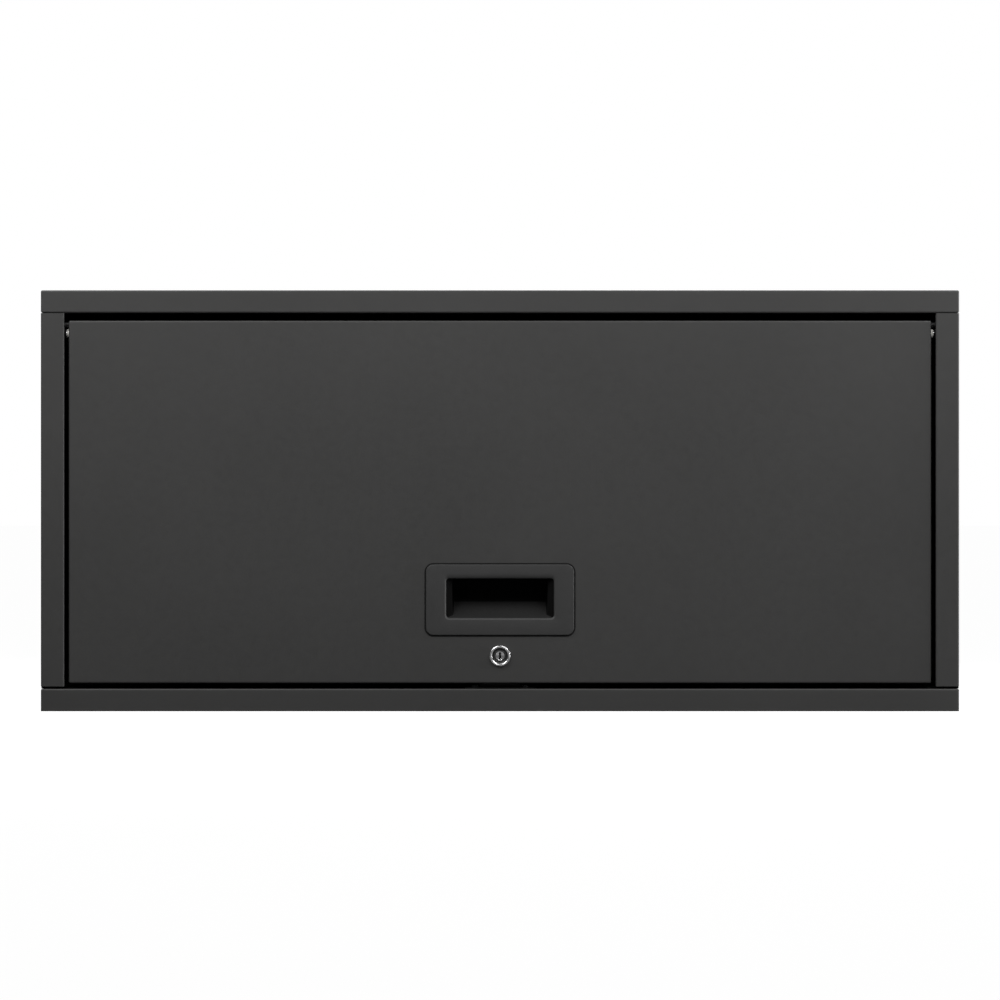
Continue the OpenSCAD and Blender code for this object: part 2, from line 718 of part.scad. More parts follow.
// Shoulder pins that bear on the back of the post's return and stop the door upright.
module stop_pins() color(black) both_sides()
    translate([0, stop_pin_y, stop_pin_z]) rotate([0, 90, 0]) {
        translate([0, 0, bracket_x1 - bracket_t - 1]) cylinder(h = bracket_t + door_sheet + 1 + eps, d = 3);
        translate([0, 0, door_half]) cylinder(h = side_gap + sheet - 0.2, d = stop_pin_d);
    }

// ---- handle ---------------------------------------------------------------

// Front frame of the handle, with a short wall round the finger opening.
module handle_bezel() color(steel) difference() {
    union() {
        translate([0, 0, handle_z]) upright(door_y0 - bezel_t, door_y0)
            polygon(rounded(bezel_w, bezel_h, bezel_r));
        translate([0, 0, pull_mid_z]) upright(door_y0 - eps, skin_y)
            polygon(rounded(opening_w + 2 * cup_t, pull_h + 2 * cup_t, pull_r + cup_t));
        for (p = boss_places) along_y(p[0], p[1], door_y0 - eps, door_y0 + boss_l, boss_d);
    }
    translate([0, 0, pull_mid_z]) upright(door_y0 - bezel_t - 1, skin_y + 1)
        polygon(rounded(opening_w, pull_h, pull_r));
}

// Solid of the finger pocket, grown by t: narrower towards the back, with a sloping floor.
module pocket(t) {
    y1 = pull_y1 - cup_t + t;
    z1 = pull_z1 + pocket_up + t;
    half = opening_w / 2 + t;
    intersection() {
        translate([0, 0, pull_z0 - 5]) linear_extrude(pull_h + 40)
            polygon([[-half, skin_y], [half, skin_y], [half - pocket_draft, y1], [-half + pocket_draft, y1]]);
        sideways(-opening_w, opening_w)
            polygon([[skin_y, pull_z0 - t], [y1, pull_z0 - t + ramp_rise], [y1, z1], [skin_y, z1]]);
    }
}

// Pocket behind the door's skin, taller than the opening so that fingers can hook up.
module handle_cup() color(black) difference() {
    union() {
        translate([0, 0, handle_z]) upright(skin_y, skin_y + cup_flange_t)
            polygon(rounded(bezel_w - 8, bezel_h - 4, bezel_r - 2));
        pocket(cup_t);
    }
    pocket(0);
    translate([-opening_w / 2, skin_y - eps, pull_z0]) cube([opening_w, 2 * eps, pull_h + pocket_up]);
    for (p = boss_places) along_y(p[0], p[1], skin_y - 1, skin_y + 3, boss_d + 2 * hole_gap);
}

// Spring washers pushed over the bezel's pegs behind the cup's flange.
module handle_push_nuts() color(zinc) translate([0, cup_flange_t, 0])
    for (p = boss_places)
        difference() {
            along_y(p[0], p[1], skin_y, skin_y + push_nut_t, boss_d + 6);
            along_y(p[0], p[1], skin_y - 1, skin_y + push_nut_t + 1, boss_d + hole_gap);
        }

// ---- lock -----------------------------------------------------------------

// Face ring with a dished front, and the barrel that the plug turns in.
module lock_housing() color(chrome) translate([0, door_y0 - lock_face_t, lock_z]) rotate([-90, 0, 0]) {
    bore_r = plug_d / 2 + run_gap;
    face_r = lock_face_d / 2;
    rotate_extrude() polygon([
        [bore_r, lock_dish], [face_r - 2, 0.4], [face_r - 1.4, 0], [face_r - 0.7, 0], [face_r, 0.7],
        [face_r, lock_face_t], [lock_barrel_d / 2, lock_face_t],
        [lock_barrel_d / 2, barrel_y1 - door_y0 + lock_face_t], [bore_r, barrel_y1 - door_y0 + lock_face_t]]);
}

module lock_nut() color(zinc) translate([0, door_y1 + washer_t, lock_z]) rotate([-90, 0, 0]) difference() {
    cylinder(h = lock_nut_t, d = lock_nut_af / cos(30), $fn = 6);
    translate([0, 0, -1]) cylinder(h = lock_nut_t + 2, d = lock_barrel_d + 2 * hole_gap);
}

module lock_washer() color(zinc) translate([0, door_y1, lock_z]) rotate([-90, 0, 0]) difference() {
    cylinder(h = washer_t, d = lock_nut_af + 2);
    translate([0, 0, -1]) cylinder(h = washer_t + 2, d = lock_barrel_d + 2 * hole_gap);
}

// Plug with an upright keyway in front and a square tail for the cam.
module lock_plug() color(chrome) translate([0, 0, lock_z]) rotate([-90, 0, 0]) difference() {
    union() {
        translate([0, 0, door_y0 - lock_face_t + 0.5])
            cylinder(h = barrel_y1 - door_y0 + lock_face_t - 0.4, d = plug_d);
        translate([-tail_w / 2, -tail_w / 2, barrel_y1]) cube([tail_w, tail_w, cam_y0 - barrel_y1 + cam_t]);
    }
    translate([-keyway_w / 2, -keyway_h / 2, door_y0 - lock_face_t - 1])
        cube([keyway_w, keyway_h, keyway_depth]);
    translate([0, 0, barrel_y1 - 8]) cylinder(h = 20, d = 3.2);
}

// Tongue of the lock, pointing to the right when the door is free.
module lock_cam() color(zinc) translate([0, cam_y0, lock_z]) rotate([-90, 0, 0]) difference() {
    union() {
        cylinder(h = cam_t, d = cam_w);
        translate([0, -cam_w / 2, 0]) cube([cam_reach - cam_w / 2, cam_w, cam_t]);
        translate([cam_reach - cam_w / 2, 0, 0]) intersection() {
            cylinder(h = cam_t, d = cam_w);
            translate([0, -cam_w, 0]) cube([cam_w, 2 * cam_w, cam_t]);
        }
    }
    translate([-tail_w / 2 - hole_gap, -tail_w / 2 - hole_gap, -1])
        cube([tail_w + 2 * hole_gap, tail_w + 2 * hole_gap, cam_t + 2]);
}

module cam_washer() color(zinc) translate([0, cam_y0 + cam_t, lock_z]) rotate([-90, 0, 0]) difference() {
    cylinder(h = washer_t, d = cam_w - 2);
    translate([0, 0, -1]) cylinder(h = washer_t + 2, d = 3 + 2 * hole_gap);
}

module cam_screw() color(zinc)
    translate([0, cam_y0 + cam_t + washer_t, lock_z]) rotate([-90, 0, 0]) pan_screw(8, 3);

// ---- assembly -------------------------------------------------------------

top_cap();
base_pan();
base_rails();
left_side_panel();
right_side_panel();
back_panel();
top_stiffener();
deck_stiffener();
anchor_tubes();
case_rivets();
back_rivets();
left_track();
right_track();
track_screws();
left_rack();
right_rack();
rear_stops();
front_bumpers();
lock_strike();
strike_screws();
left_glide();
right_glide();
pivot_rod();
left_pinion();
right_pinion();
door_skin();
door_liner();
liner_screws();
door_stiffeners();
left_hinge_bracket();
right_hinge_bracket();
bracket_rivets();
left_pivot_bush();
right_pivot_bush();
stop_pins();
handle_bezel();
handle_cup();
handle_push_nuts();
lock_housing();
lock_nut();
lock_washer();
lock_plug();
lock_cam();
cam_washer();
cam_screw();
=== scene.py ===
"""Looks of a parcel drop box: a wide steel cabinet with a flip-up door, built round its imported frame.

Every new piece is a surface worked out with numpy as whole arrays. Lengths are in metres.
"""

import json
import math

import bmesh
import bpy
import numpy as np
from bpy.props import FloatProperty, FloatVectorProperty, PointerProperty
from bpy.types import Operator, Panel, PropertyGroup
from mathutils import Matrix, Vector


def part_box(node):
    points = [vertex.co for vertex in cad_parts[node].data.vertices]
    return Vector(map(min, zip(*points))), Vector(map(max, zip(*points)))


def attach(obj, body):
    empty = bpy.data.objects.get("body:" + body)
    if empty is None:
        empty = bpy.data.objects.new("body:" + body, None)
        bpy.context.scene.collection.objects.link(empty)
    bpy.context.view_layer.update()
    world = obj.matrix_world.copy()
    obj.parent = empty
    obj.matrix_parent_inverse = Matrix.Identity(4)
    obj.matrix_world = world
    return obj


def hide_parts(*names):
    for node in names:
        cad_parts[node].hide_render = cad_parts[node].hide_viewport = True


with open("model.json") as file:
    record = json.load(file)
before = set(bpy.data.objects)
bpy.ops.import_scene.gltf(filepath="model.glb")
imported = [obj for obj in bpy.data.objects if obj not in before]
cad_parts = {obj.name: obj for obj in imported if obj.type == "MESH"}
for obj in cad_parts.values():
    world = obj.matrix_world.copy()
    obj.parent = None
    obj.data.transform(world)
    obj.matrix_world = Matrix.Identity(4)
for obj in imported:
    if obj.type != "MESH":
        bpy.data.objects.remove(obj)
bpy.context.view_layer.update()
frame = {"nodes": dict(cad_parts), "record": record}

bl_info = {
    "name": "Parcel Drop Box",
    "version": (1, 0, 0),
    "blender": (4, 5, 0),
    "location": "View3D > Sidebar > Drop Box",
    "description": "Builds the case, door, handle, lock and runners of a parcel drop box",
    "category": "Object",
}

MM = 0.001
CORNER_STEPS = 8       # flats in each rounded corner
NEAR = 0.001 * MM      # points closer than this are the same
SUPPORT = 0.15 * MM    # narrow strip beside each bend that keeps the flats flat when shaded
FLAT_EDGE = 8 * MM     # strip of a pan's flat face that belongs to its folded rim
SCREW_HEAD = 1.6 * MM  # height of a pan-head screw's head

# ---- places taken from the frame ------------------------------------------------------------

CAP_LO, CAP_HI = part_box("top_cap")
BASE_LO, BASE_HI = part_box("base_pan")
SIDE_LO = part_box("right_side_panel")[0]
BACK_LO, BACK_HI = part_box("back_panel")
SKIN_LO, SKIN_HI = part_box("door_skin")
LINER_LO, LINER_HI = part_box("door_liner")
BEZEL_LO, BEZEL_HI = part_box("handle_bezel")
CUP_LO, CUP_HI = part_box("handle_cup")
LOCK_LO, LOCK_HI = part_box("lock_housing")
PLUG_LO, PLUG_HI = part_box("lock_plug")
BUSH_LO, BUSH_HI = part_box("right_pivot_bush")
ROD_LO, ROD_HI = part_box("pivot_rod")
TRACK_LO, TRACK_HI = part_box("right_track")
STRIKE_LO, STRIKE_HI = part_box("lock_strike")
BRACKET_LO, BRACKET_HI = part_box("right_hinge_bracket")
NUT_LO, NUT_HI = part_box("lock_nut")
CAM_LO, CAM_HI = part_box("lock_cam")

HALF_W = CAP_HI.x
FRONT = CAP_LO.y
BACK = CAP_HI.y
SHEET = BACK_HI.y - BACK_LO.y
DOOR_SHEET = LINER_HI.y - LINER_LO.y
POST_X = SIDE_LO.x
PIVOT_Y = (ROD_LO.y + ROD_HI.y) / 2
PIVOT_Z = (ROD_LO.z + ROD_HI.z) / 2
LOCK_Z = (LOCK_LO.z + LOCK_HI.z) / 2
SKIN_INSIDE = SKIN_LO.y + DOOR_SHEET
HANDLE_Z = (BEZEL_LO.z + BEZEL_HI.z) / 2
PEG_X = BEZEL_HI.x - 9.5 * MM
PEG_Z = (BEZEL_HI.z - BEZEL_LO.z) / 2 - 7.5 * MM
PEG_R = 2.5 * MM
LOCK_BARREL = 8.75 * MM  # radius of the lock's barrel, inside its washer and nut


# ---- settings -------------------------------------------------------------------------------

class DropBoxShape(PropertyGroup):
    """Sizes of edges and small shapes that the frame leaves plain."""

    bend: FloatProperty(name="Bend radius", description="Outside radius of the case's sheet bends",
                        default=1.6 * MM, min=1.2 * MM, max=3 * MM, unit="LENGTH")
    post_return: FloatProperty(name="Post return", description="Depth of the fold behind each front post",
                               default=7.5 * MM, min=4 * MM, max=12 * MM, unit="LENGTH")
    lip: FloatProperty(name="Lip width", description="Width of the lips folded round the cap and the base",
                       default=14 * MM, min=8 * MM, max=20 * MM, unit="LENGTH")
    relief: FloatProperty(name="Post relief",
                          description="Gap between the foot of each front post and the base",
                          default=2.4 * MM, min=0.5 * MM, max=4 * MM, unit="LENGTH")
    bezel_corner: FloatProperty(name="Bezel corner", description="Corner radius of the handle's bezel",
                                default=9 * MM, min=4 * MM, max=14 * MM, unit="LENGTH")
    bezel_edge: FloatProperty(name="Bezel edge", description="Radius of the bezel's outer front edge",
                              default=0.7 * MM, min=0.3 * MM, max=1.2 * MM, unit="LENGTH")
    # The low border is painted black: painted shade of the groove between the bezel and the door.
    bezel_seam: FloatProperty(name="Bezel seam", description="Width of the low dark border round the bezel",
                              default=1.5 * MM, min=0.2 * MM, max=2 * MM, unit="LENGTH")
    pull_edge: FloatProperty(name="Opening edge",
                             description="Reach of the rolled edge at the opening's sides and foot",
                             default=2.4 * MM, min=0.5 * MM, max=4 * MM, unit="LENGTH")
    pull_top_edge: FloatProperty(name="Opening top edge",
                                 description="Reach of the rolled edge over the opening",
                                 default=5 * MM, min=0.5 * MM, max=7 * MM, unit="LENGTH")
    pull_corner: FloatProperty(name="Opening corner", description="Corner radius of the finger opening",
                               default=3 * MM, min=1 * MM, max=6 * MM, unit="LENGTH")
    pull_width: FloatProperty(name="Opening width", description="Width of the finger opening",
                              default=107 * MM, min=90 * MM, max=112 * MM, unit="LENGTH")
    pull_height: FloatProperty(name="Opening height", description="Height of the finger opening",
                               default=39 * MM, min=33 * MM, max=40 * MM, unit="LENGTH")
    pull_rise: FloatProperty(name="Opening rise",
                             description="From the bezel's lower edge to the finger opening",
                             default=18.7 * MM, min=14 * MM, max=22 * MM, unit="LENGTH")
    ramp_rise: FloatProperty(name="Ramp rise",
                             description="Rise of the sloping floor inside the finger opening",
                             default=15.5 * MM, min=8 * MM, max=20 * MM, unit="LENGTH")
    pocket_draft: FloatProperty(name="Pocket draft", description="How far each side of the pocket draws in",
                                default=6.5 * MM, min=1 * MM, max=10 * MM, unit="LENGTH")
    pocket_up: FloatProperty(name="Pocket above opening", description="Room above the opening for fingertips",
                             default=9 * MM, min=3 * MM, max=12 * MM, unit="LENGTH")
    wall: FloatProperty(name="Moulding wall", description="Wall thickness of the handle's mouldings",
                        default=1.8 * MM, min=1 * MM, max=3 * MM, unit="LENGTH")


class DropBoxFinish(PropertyGroup):
    """Colours and surface of the finishes."""

    paint: FloatVectorProperty(name="Paint", description="Colour of the satin powder coat",
                               default=(0.0300, 0.0298, 0.0292), min=0, max=1, subtype="COLOR")
    paint_roughness: FloatProperty(name="Paint roughness", description="Roughness of the powder coat",
                                   default=0.56, min=0.1, max=1, subtype="FACTOR")
    peel_depth: FloatProperty(name="Orange peel", description="Height of the powder coat's fine waves",
                              default=0.012 * MM, min=0, max=0.1 * MM, unit="LENGTH")
    moulding: FloatVectorProperty(name="Moulding", description="Colour of the handle's bezel",
                                  default=(0.026, 0.026, 0.026), min=0, max=1, subtype="COLOR")
    pocket: FloatVectorProperty(name="Pocket",
                                description="Colour of the handle's pocket and other dark nylon",
                                default=(0.010, 0.010, 0.010), min=0, max=1, subtype="COLOR")
    chrome: FloatVectorProperty(name="Chrome", description="Colour of the lock's plating",
                                default=(0.90, 0.90, 0.91), min=0, max=1, subtype="COLOR")
    nylon: FloatVectorProperty(name="Nylon", description="Colour of the pale nylon runners",
                               default=(0.66, 0.65, 0.61), min=0, max=1, subtype="COLOR")


class DropBoxStudio(PropertyGroup):
    """Light, floor and camera."""

    floor: FloatVectorProperty(name="Floor", description="Colour of the floor",
                               default=(0.21, 0.21, 0.21), min=0, max=1, subtype="COLOR")
    floor_glow: FloatProperty(name="Floor glow",
                              description="How much the floor is lifted towards white in the picture",
                              default=0.96, min=0, max=1)
    surround: FloatProperty(name="Surround", description="Brightness of the room round the cabinet",
                            default=0.10, min=0, max=3)
    key_power: FloatProperty(name="Key light", description="Power of the soft light above, on the right",
                             default=12, min=0, max=500, unit="POWER")
    fill_power: FloatProperty(name="Fill light", description="Power of the soft light above, on the left",
                              default=15, min=0, max=500, unit="POWER")
    edge_power: FloatProperty(name="Edge light",
                              description="Power of the light beside the cabinet, on the right",
                              default=15, min=0, max=500, unit="POWER")
    rear_power: FloatProperty(name="Rear light", description="Power of the light behind the cabinet",
                              default=16, min=0, max=500, unit="POWER")
    lens: FloatProperty(name="Lens", description="Focal length in millimetres", default=300, min=50, max=600)
    view_width: FloatProperty(name="View width", description="Width seen at the cabinet's front",
                              default=995.2 * MM, min=0.5, max=3, unit="LENGTH")
    view_height: FloatProperty(name="View centre", description="Height of the view's middle above the floor",
                               default=210.3 * MM, min=0, max=1, unit="LENGTH")


def settings():
    """The scene's settings: shape, finish and studio."""
    scene = bpy.context.scene
    return scene.drop_box_shape, scene.drop_box_finish, scene.drop_box_studio


# ---- curves and surfaces --------------------------------------------------------------------

def arc(centre, radius, start, end, steps=CORNER_STEPS):
    """Points on a circle's arc: centre plus radius times (cos, sin) of evenly spaced angles in degrees."""
    a = np.radians(np.linspace(start, end, steps + 1))
    return np.asarray(centre) + radius * np.stack([np.cos(a), np.sin(a)], axis=1)


def bent_path(corners, radius, steps=CORNER_STEPS):
    """A folded line through corners, each inner corner rounded by an arc that touches both legs.

    Each arc is centred on the corner's bisector at radius / cos(half the turn) from the corner.
    A support point lies just before and just after each arc, so that the flats shade flat.
    """
    corners = np.asarray(corners, float)
    radii = np.broadcast_to(np.asarray(radius, float), (len(corners),))
    out = [corners[:1]]
    for before, corner, after, r in zip(corners, corners[1:], corners[2:], radii[1:]):
        u = (before - corner) / np.linalg.norm(before - corner)
        w = (after - corner) / np.linalg.norm(after - corner)
        if r <= 0:
            out.append(corner[None])
            continue
        half = math.acos(np.clip(u @ w, -1, 1)) / 2
        reach = r / math.tan(half)
        middle = corner + (u + w) / np.linalg.norm(u + w) * r / math.sin(half)
        first, last = corner + u * reach - middle, corner + w * reach - middle
        turn = math.atan2(first[0] * last[1] - first[1] * last[0], first @ last)
        a = np.linspace(0, turn, steps + 1)
        spun = np.stack([np.cos(a) * first[0] - np.sin(a) * first[1],
                         np.sin(a) * first[0] + np.cos(a) * first[1]], 1)
        out += [(corner + u * (reach + SUPPORT))[None], middle + spun, (corner + w * (reach + SUPPORT))[None]]
    out.append(corners[-1:])
    return np.concatenate(out)


def frame_ring(x0, x1, z0, z1, radius, steps=CORNER_STEPS):
    """A rounded rectangle as one closed ring.

    Each corner is the inner corner plus radius times the direction.
    """
    r = min(radius, (x1 - x0) / 2, (z1 - z0) / 2)
    return np.concatenate([
        arc((x1 - r, z1 - r), r, 0, 90, steps), arc((x0 + r, z1 - r), r, 90, 180, steps),
        arc((x0 + r, z0 + r), r, 180, 270, steps), arc((x1 - r, z0 + r), r, 270, 360, steps)])


def pan_rings(half_x, half_y, radius, section, x_breaks=(), y_breaks=(), steps=CORNER_STEPS):
    """Rings of a folded pan: a section of (inset, height) pairs carried round a rounded rectangle.

    A ring's corner is the inner corner, moved in by what the inset exceeds the radius, plus what is
    left of the radius times the direction. Straight sides keep their own break points.
    Returns an array of rings, points and (x, y, height).
    """
    inset, height = np.asarray(section, float).T
    rad = np.maximum(radius - inset, 0)[:, None]
    corner_x = half_x - np.maximum(radius, inset)
    corner_y = half_y - np.maximum(radius, inset)
    quarter = np.radians(np.linspace(0, 90, steps + 1))
    xs = np.sort(np.asarray(x_breaks, float))
    ys = np.sort(np.asarray(y_breaks, float))
    sides = []
    for k, (sx, sy) in enumerate([(1, 1), (-1, 1), (-1, -1), (1, -1)]):
        a = quarter + k * math.pi / 2
        px = sx * corner_x[:, None] + rad * np.cos(a)
        py = sy * corner_y[:, None] + rad * np.sin(a)
        sides.append(np.stack([px, py], axis=2))
        along_x = k % 2 == 0
        breaks = (xs[::-1] if sy > 0 else xs) if along_x else (ys[::-1] if sx < 0 else ys)
        if len(breaks):
            run = np.broadcast_to(breaks, (len(inset), len(breaks)))
            off = (sy * (half_y - inset) if along_x else sx * (half_x - inset))[:, None] + 0 * run
            sides.append(np.stack([run, off] if along_x else [off, run], axis=2))
    ring = np.concatenate(sides, axis=1)
    return np.concatenate([ring, np.broadcast_to(height[:, None, None], ring.shape[:2] + (1,))], axis=2)


def full_turn(steps):
    """Evenly spaced angles all round."""
    return np.arange(steps) * (2 * math.pi / steps)


def star_rings(profile, angles):
    """Closed outlines about the origin, from (radius, height) pairs. A radius may vary with the angle."""
    return [(np.stack([r * np.cos(angles), r * np.sin(angles)], axis=1), h) for r, h in profile]


def stood_up(points):
    """Turns outlines in (x, z), stacked along y, to stand in the frame."""
    return np.asarray(points)[:, [0, 2, 1]]


def inset_ring(lo, hi, inset, corner):
    """The front outline of the box from lo to hi as a rounded ring, moved in on all sides."""
    return frame_ring(lo.x + inset, hi.x - inset, lo.z + inset, hi.z - inset, corner)


class Shell:
    """Collects grids of points and faces, and makes one welded mesh object of them."""

    def __init__(self):
        self.points = []
        self.faces = []
        self.count = 0

    def add(self, points, faces):
        """Takes points and a list of index arrays."""
        self.points.append(np.asarray(points, float).reshape(-1, 3))
        self.faces += [np.asarray(f) + self.count for f in faces]
        self.count += len(self.points[-1])
        return self

    def grid(self, points, ring=False, loop=False, skip=None):
        """A grid of quads over (rows, columns, 3) points.

        Ring joins the ends of the columns, loop joins the ends of the rows, and skip leaves cells out.
        """
        rows, cols = points.shape[:2]
        i = np.arange(rows if loop else rows - 1)
        j = np.arange(cols if ring else cols - 1)
        a, b = np.meshgrid(i, j, indexing="ij")
        down, right = (a + 1) % rows, (b + 1) % cols
        quads = np.stack([a * cols + b, a * cols + right, down * cols + right, down * cols + b], axis=2)
        keep = np.ones(quads.shape[:2], bool) if skip is None else ~skip
        return self.add(points, [quads[keep]])

    def lid(self, ring):
        """One flat face over a closed ring."""
        return self.add(ring, [np.arange(len(ring))[None]])

    def plate(self, xs, ys, place, holes=(), skip=()):
        """A flat plate over break lines xs and ys, with rounded holes (x0, x1, y0, y1, radius).

        The cells round a hole become fans from their outer corners to the hole's rounded corners,
        and one face between each pair of fans. Cells whose middle lies in a skip box are left out.
        """
        xs, ys = np.sort(np.asarray(xs, float)), np.sort(np.asarray(ys, float))
        mid_x, mid_y = np.meshgrid((xs[1:] + xs[:-1]) / 2, (ys[1:] + ys[:-1]) / 2, indexing="ij")
        gone = np.zeros(mid_x.shape, bool)
        for x0, x1, y0, y1 in skip:
            gone |= (mid_x > x0) & (mid_x < x1) & (mid_y > y0) & (mid_y < y1)
        n = CORNER_STEPS + 1
        for x0, x1, y0, y1, r in holes:
            i0, i1 = np.searchsorted(xs, x0) - 1, np.searchsorted(xs, x1)
            j0, j1 = np.searchsorted(ys, y0) - 1, np.searchsorted(ys, y1)
            gone[i0:i1, j0:j1] = True
            inner = frame_ring(x0, x1, y0, y1, r)
            runs = [[(x, ys[j1]) for x in xs[i1:i0 - 1 if i0 else None:-1]],
                    [(xs[i0], y) for y in ys[j1:j0 - 1 if j0 else None:-1]],
                    [(x, ys[j0]) for x in xs[i0:i1 + 1]],
                    [(xs[i1], y) for y in ys[j0:j1 + 1]]]
            for k, run in enumerate(runs):
                ends = np.concatenate([inner[[k * n + n - 1, (k + 1) * n % (4 * n)]], np.array(run)[::-1]])
                self.add(place(ends), [np.arange(len(ends))[None]])
                fan = np.concatenate([inner[k * n:k * n + n], np.array(run)[:1]])
                t = np.arange(n - 1)
                self.add(place(fan), [np.stack([t, t + 1, np.full(n - 1, n)], axis=1)])
        cells = np.stack(np.meshgrid(xs, ys, indexing="ij"), axis=2)
        return self.grid(place(cells.reshape(-1, 2)).reshape(cells.shape[:2] + (3,)), skip=gone)

    def mesh(self, name):
        """The welded mesh, its faces turned outwards."""
        me = bpy.data.meshes.new(name)
        faces = [row for f in self.faces for row in f.tolist()]
        me.from_pydata(np.concatenate(self.points).tolist(), [], faces)
        bm = bmesh.new()
        bm.from_mesh(me)
        bmesh.ops.remove_doubles(bm, verts=bm.verts, dist=2e-6)
        bmesh.ops.dissolve_degenerate(bm, dist=1e-7, edges=bm.edges)
        bmesh.ops.recalc_face_normals(bm, faces=bm.faces)
        bm.to_mesh(me)
        bm.free()
        return me


def finish_piece(name, shells, body, nodes, finish, wall=0, centred=False, smooth=38):
    """Makes one piece of one or more shells and hangs it on its body.

    Each open shell gets a wall inwards, or half to each side if centred.
    """
    joined = bmesh.new()
    for k, shell in enumerate(shells if isinstance(shells, (list, tuple)) else [shells]):
        me = shell.mesh(f"{name}_{k}")
        obj = bpy.data.objects.new(f"{name}_{k}", me)
        bpy.context.scene.collection.objects.link(obj)
        if wall:
            thick = obj.modifiers.new("wall", "SOLIDIFY")
            thick.thickness = wall
            thick.offset = 0 if centred else -1
            thick.use_even_offset = True
        bpy.context.view_layer.update()
        done = bpy.data.meshes.new_from_object(obj.evaluated_get(bpy.context.evaluated_depsgraph_get()))
        joined.from_mesh(done)
        bpy.data.objects.remove(obj)
        bpy.data.meshes.remove(me)
        bpy.data.meshes.remove(done)
    final = bpy.data.meshes.new(name)
    joined.to_mesh(final)
    joined.free()
    final.polygons.foreach_set("use_smooth", np.ones(len(final.polygons), bool))
    final.set_sharp_from_angle(angle=math.radians(smooth))
    final.materials.append(material(finish))
    piece = bpy.data.objects.new(name, final)
    bpy.context.scene.collection.objects.link(piece)
    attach(piece, body)
    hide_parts(*nodes)
    return piece


def mark(piece, name, chosen):
    """Stores an attribute on a piece's points: 1 where chosen(points) holds, else 0."""
    co = np.empty(3 * len(piece.data.vertices))
    piece.data.vertices.foreach_get("co", co)
    values = piece.data.attributes.new(name, "FLOAT", "POINT")
    values.data.foreach_set("value", chosen(co.reshape(-1, 3)).astype(np.float32))


def lathe(profile, place, steps=48, loop=False):
    """A turned form: each (radius, height) of the profile goes round the axis.

    Ends on the axis close there. With loop, the profile itself closes, as for a washer.
    """
    a = full_turn(steps)
    profile = np.asarray(profile, float)
    flat = profile[:, 0][:, None, None] * np.stack([np.cos(a), np.sin(a)], axis=1)[None]
    rings = np.concatenate([flat, np.broadcast_to(profile[:, 1][:, None, None], flat.shape[:2] + (1,))],
                           axis=2)
    return Shell().grid(place(rings.reshape(-1, 3)).reshape(rings.shape), ring=True, loop=loop)


def facing(axis, at):
    """A map from local (a, b, height) to the frame, its height running along axis from the point at."""
    at = np.asarray(at, float)
    turns = {
        "+Y": lambda p: np.stack([p[:, 0], p[:, 2], -p[:, 1]], axis=1),
        "-Y": lambda p: np.stack([p[:, 0], -p[:, 2], p[:, 1]], axis=1),
        "+Z": lambda p: np.stack([p[:, 0], p[:, 1], p[:, 2]], axis=1),
        "-Z": lambda p: np.stack([p[:, 0], -p[:, 1], -p[:, 2]], axis=1),
        "+X": lambda p: np.stack([p[:, 2], p[:, 0], p[:, 1]], axis=1),
        "-X": lambda p: np.stack([-p[:, 2], -p[:, 0], p[:, 1]], axis=1),
    }
    return lambda p: turns[axis](np.asarray(p, float)) + at


def sections(rings, place):
    """Stacks closed outlines into one grid: rings is [(outline, height), ...], each outline (n, 2)."""
    flat = np.stack([np.concatenate([o, np.full((len(o), 1), h)], axis=1) for o, h in rings])
    return place(flat.reshape(-1, 3)).reshape(flat.shape)


def level(height):
    """A map from (a, b) to the frame's (x, y) at one height."""
    return lambda p: np.insert(np.asarray(p, float), 2, height, axis=1)


def upright(y):
    """A map from (a, b) to the frame's (x, z) at one y."""
    return lambda p: np.insert(np.asarray(p, float), 1, y, axis=1)


def lofted(rings, place, lids=(True, True), loop=False):
    """A skin over closed outlines with as many points each: rings is [(outline, height), ...]."""
    grid = sections(rings, place)
    shell = Shell().grid(grid, ring=True, loop=loop)
    for end, wanted in ((0, lids[0]), (-1, lids[1])):
        if wanted and not loop:
            shell.lid(grid[end])
    return shell


def swept(path, ends, place):
    """A folded strip: a path of (a, b) points carried straight from one end to the other."""
    path = np.asarray(path, float)
    ends = np.asarray(ends, float)
    grid = np.stack([np.insert(path, 2, e, axis=1) for e in ends], axis=1)
    return Shell().grid(place(grid.reshape(-1, 3)).reshape(grid.shape))


def curtain(path, foot, head, rows=9):
    """An upright folded sheet over a path in plan. Each leg of the path has its own foot and head.

    The sheet is one grid over the path and all the heights; cells below a foot or above a head are left out.
    """
    path = np.asarray(path, float)
    z = np.unique(np.round(np.concatenate([foot, head, np.linspace(min(foot), max(head), rows)]), 7))
    grid = np.stack([np.insert(path, 2, h, axis=1) for h in z], axis=1)
    middle = (z[1:] + z[:-1])[None, :] / 2
    below = middle < np.asarray(foot)[:, None]
    above = middle > np.asarray(head)[:, None]
    return Shell().grid(grid, skip=below | above)


def along(axis):
    """A map from (a, b, run) to the frame, for strips that run along X, Y or Z."""
    order = {"X": [2, 0, 1], "Y": [0, 2, 1], "Z": [0, 1, 2]}[axis]
    return lambda p: np.asarray(p, float)[:, order]


def rounded_block(lo, hi, corner, rim):
    """A block with rounded upright corners, its top and bottom rims rounded by a quarter arc."""
    a = np.radians(np.linspace(0, 90, 5))
    z = np.concatenate([lo[2] + rim * (1 - np.cos(a)), hi[2] - rim * (1 - np.cos(a[::-1]))])
    inset = np.concatenate([rim * (1 - np.sin(a)), rim * (1 - np.sin(a[::-1]))])
    rings = [(frame_ring(lo[0] + i, hi[0] - i, lo[1] + i, hi[1] - i, corner), h) for i, h in zip(inset, z)]
    return lofted(rings, facing("+Z", (0, 0, 0)))


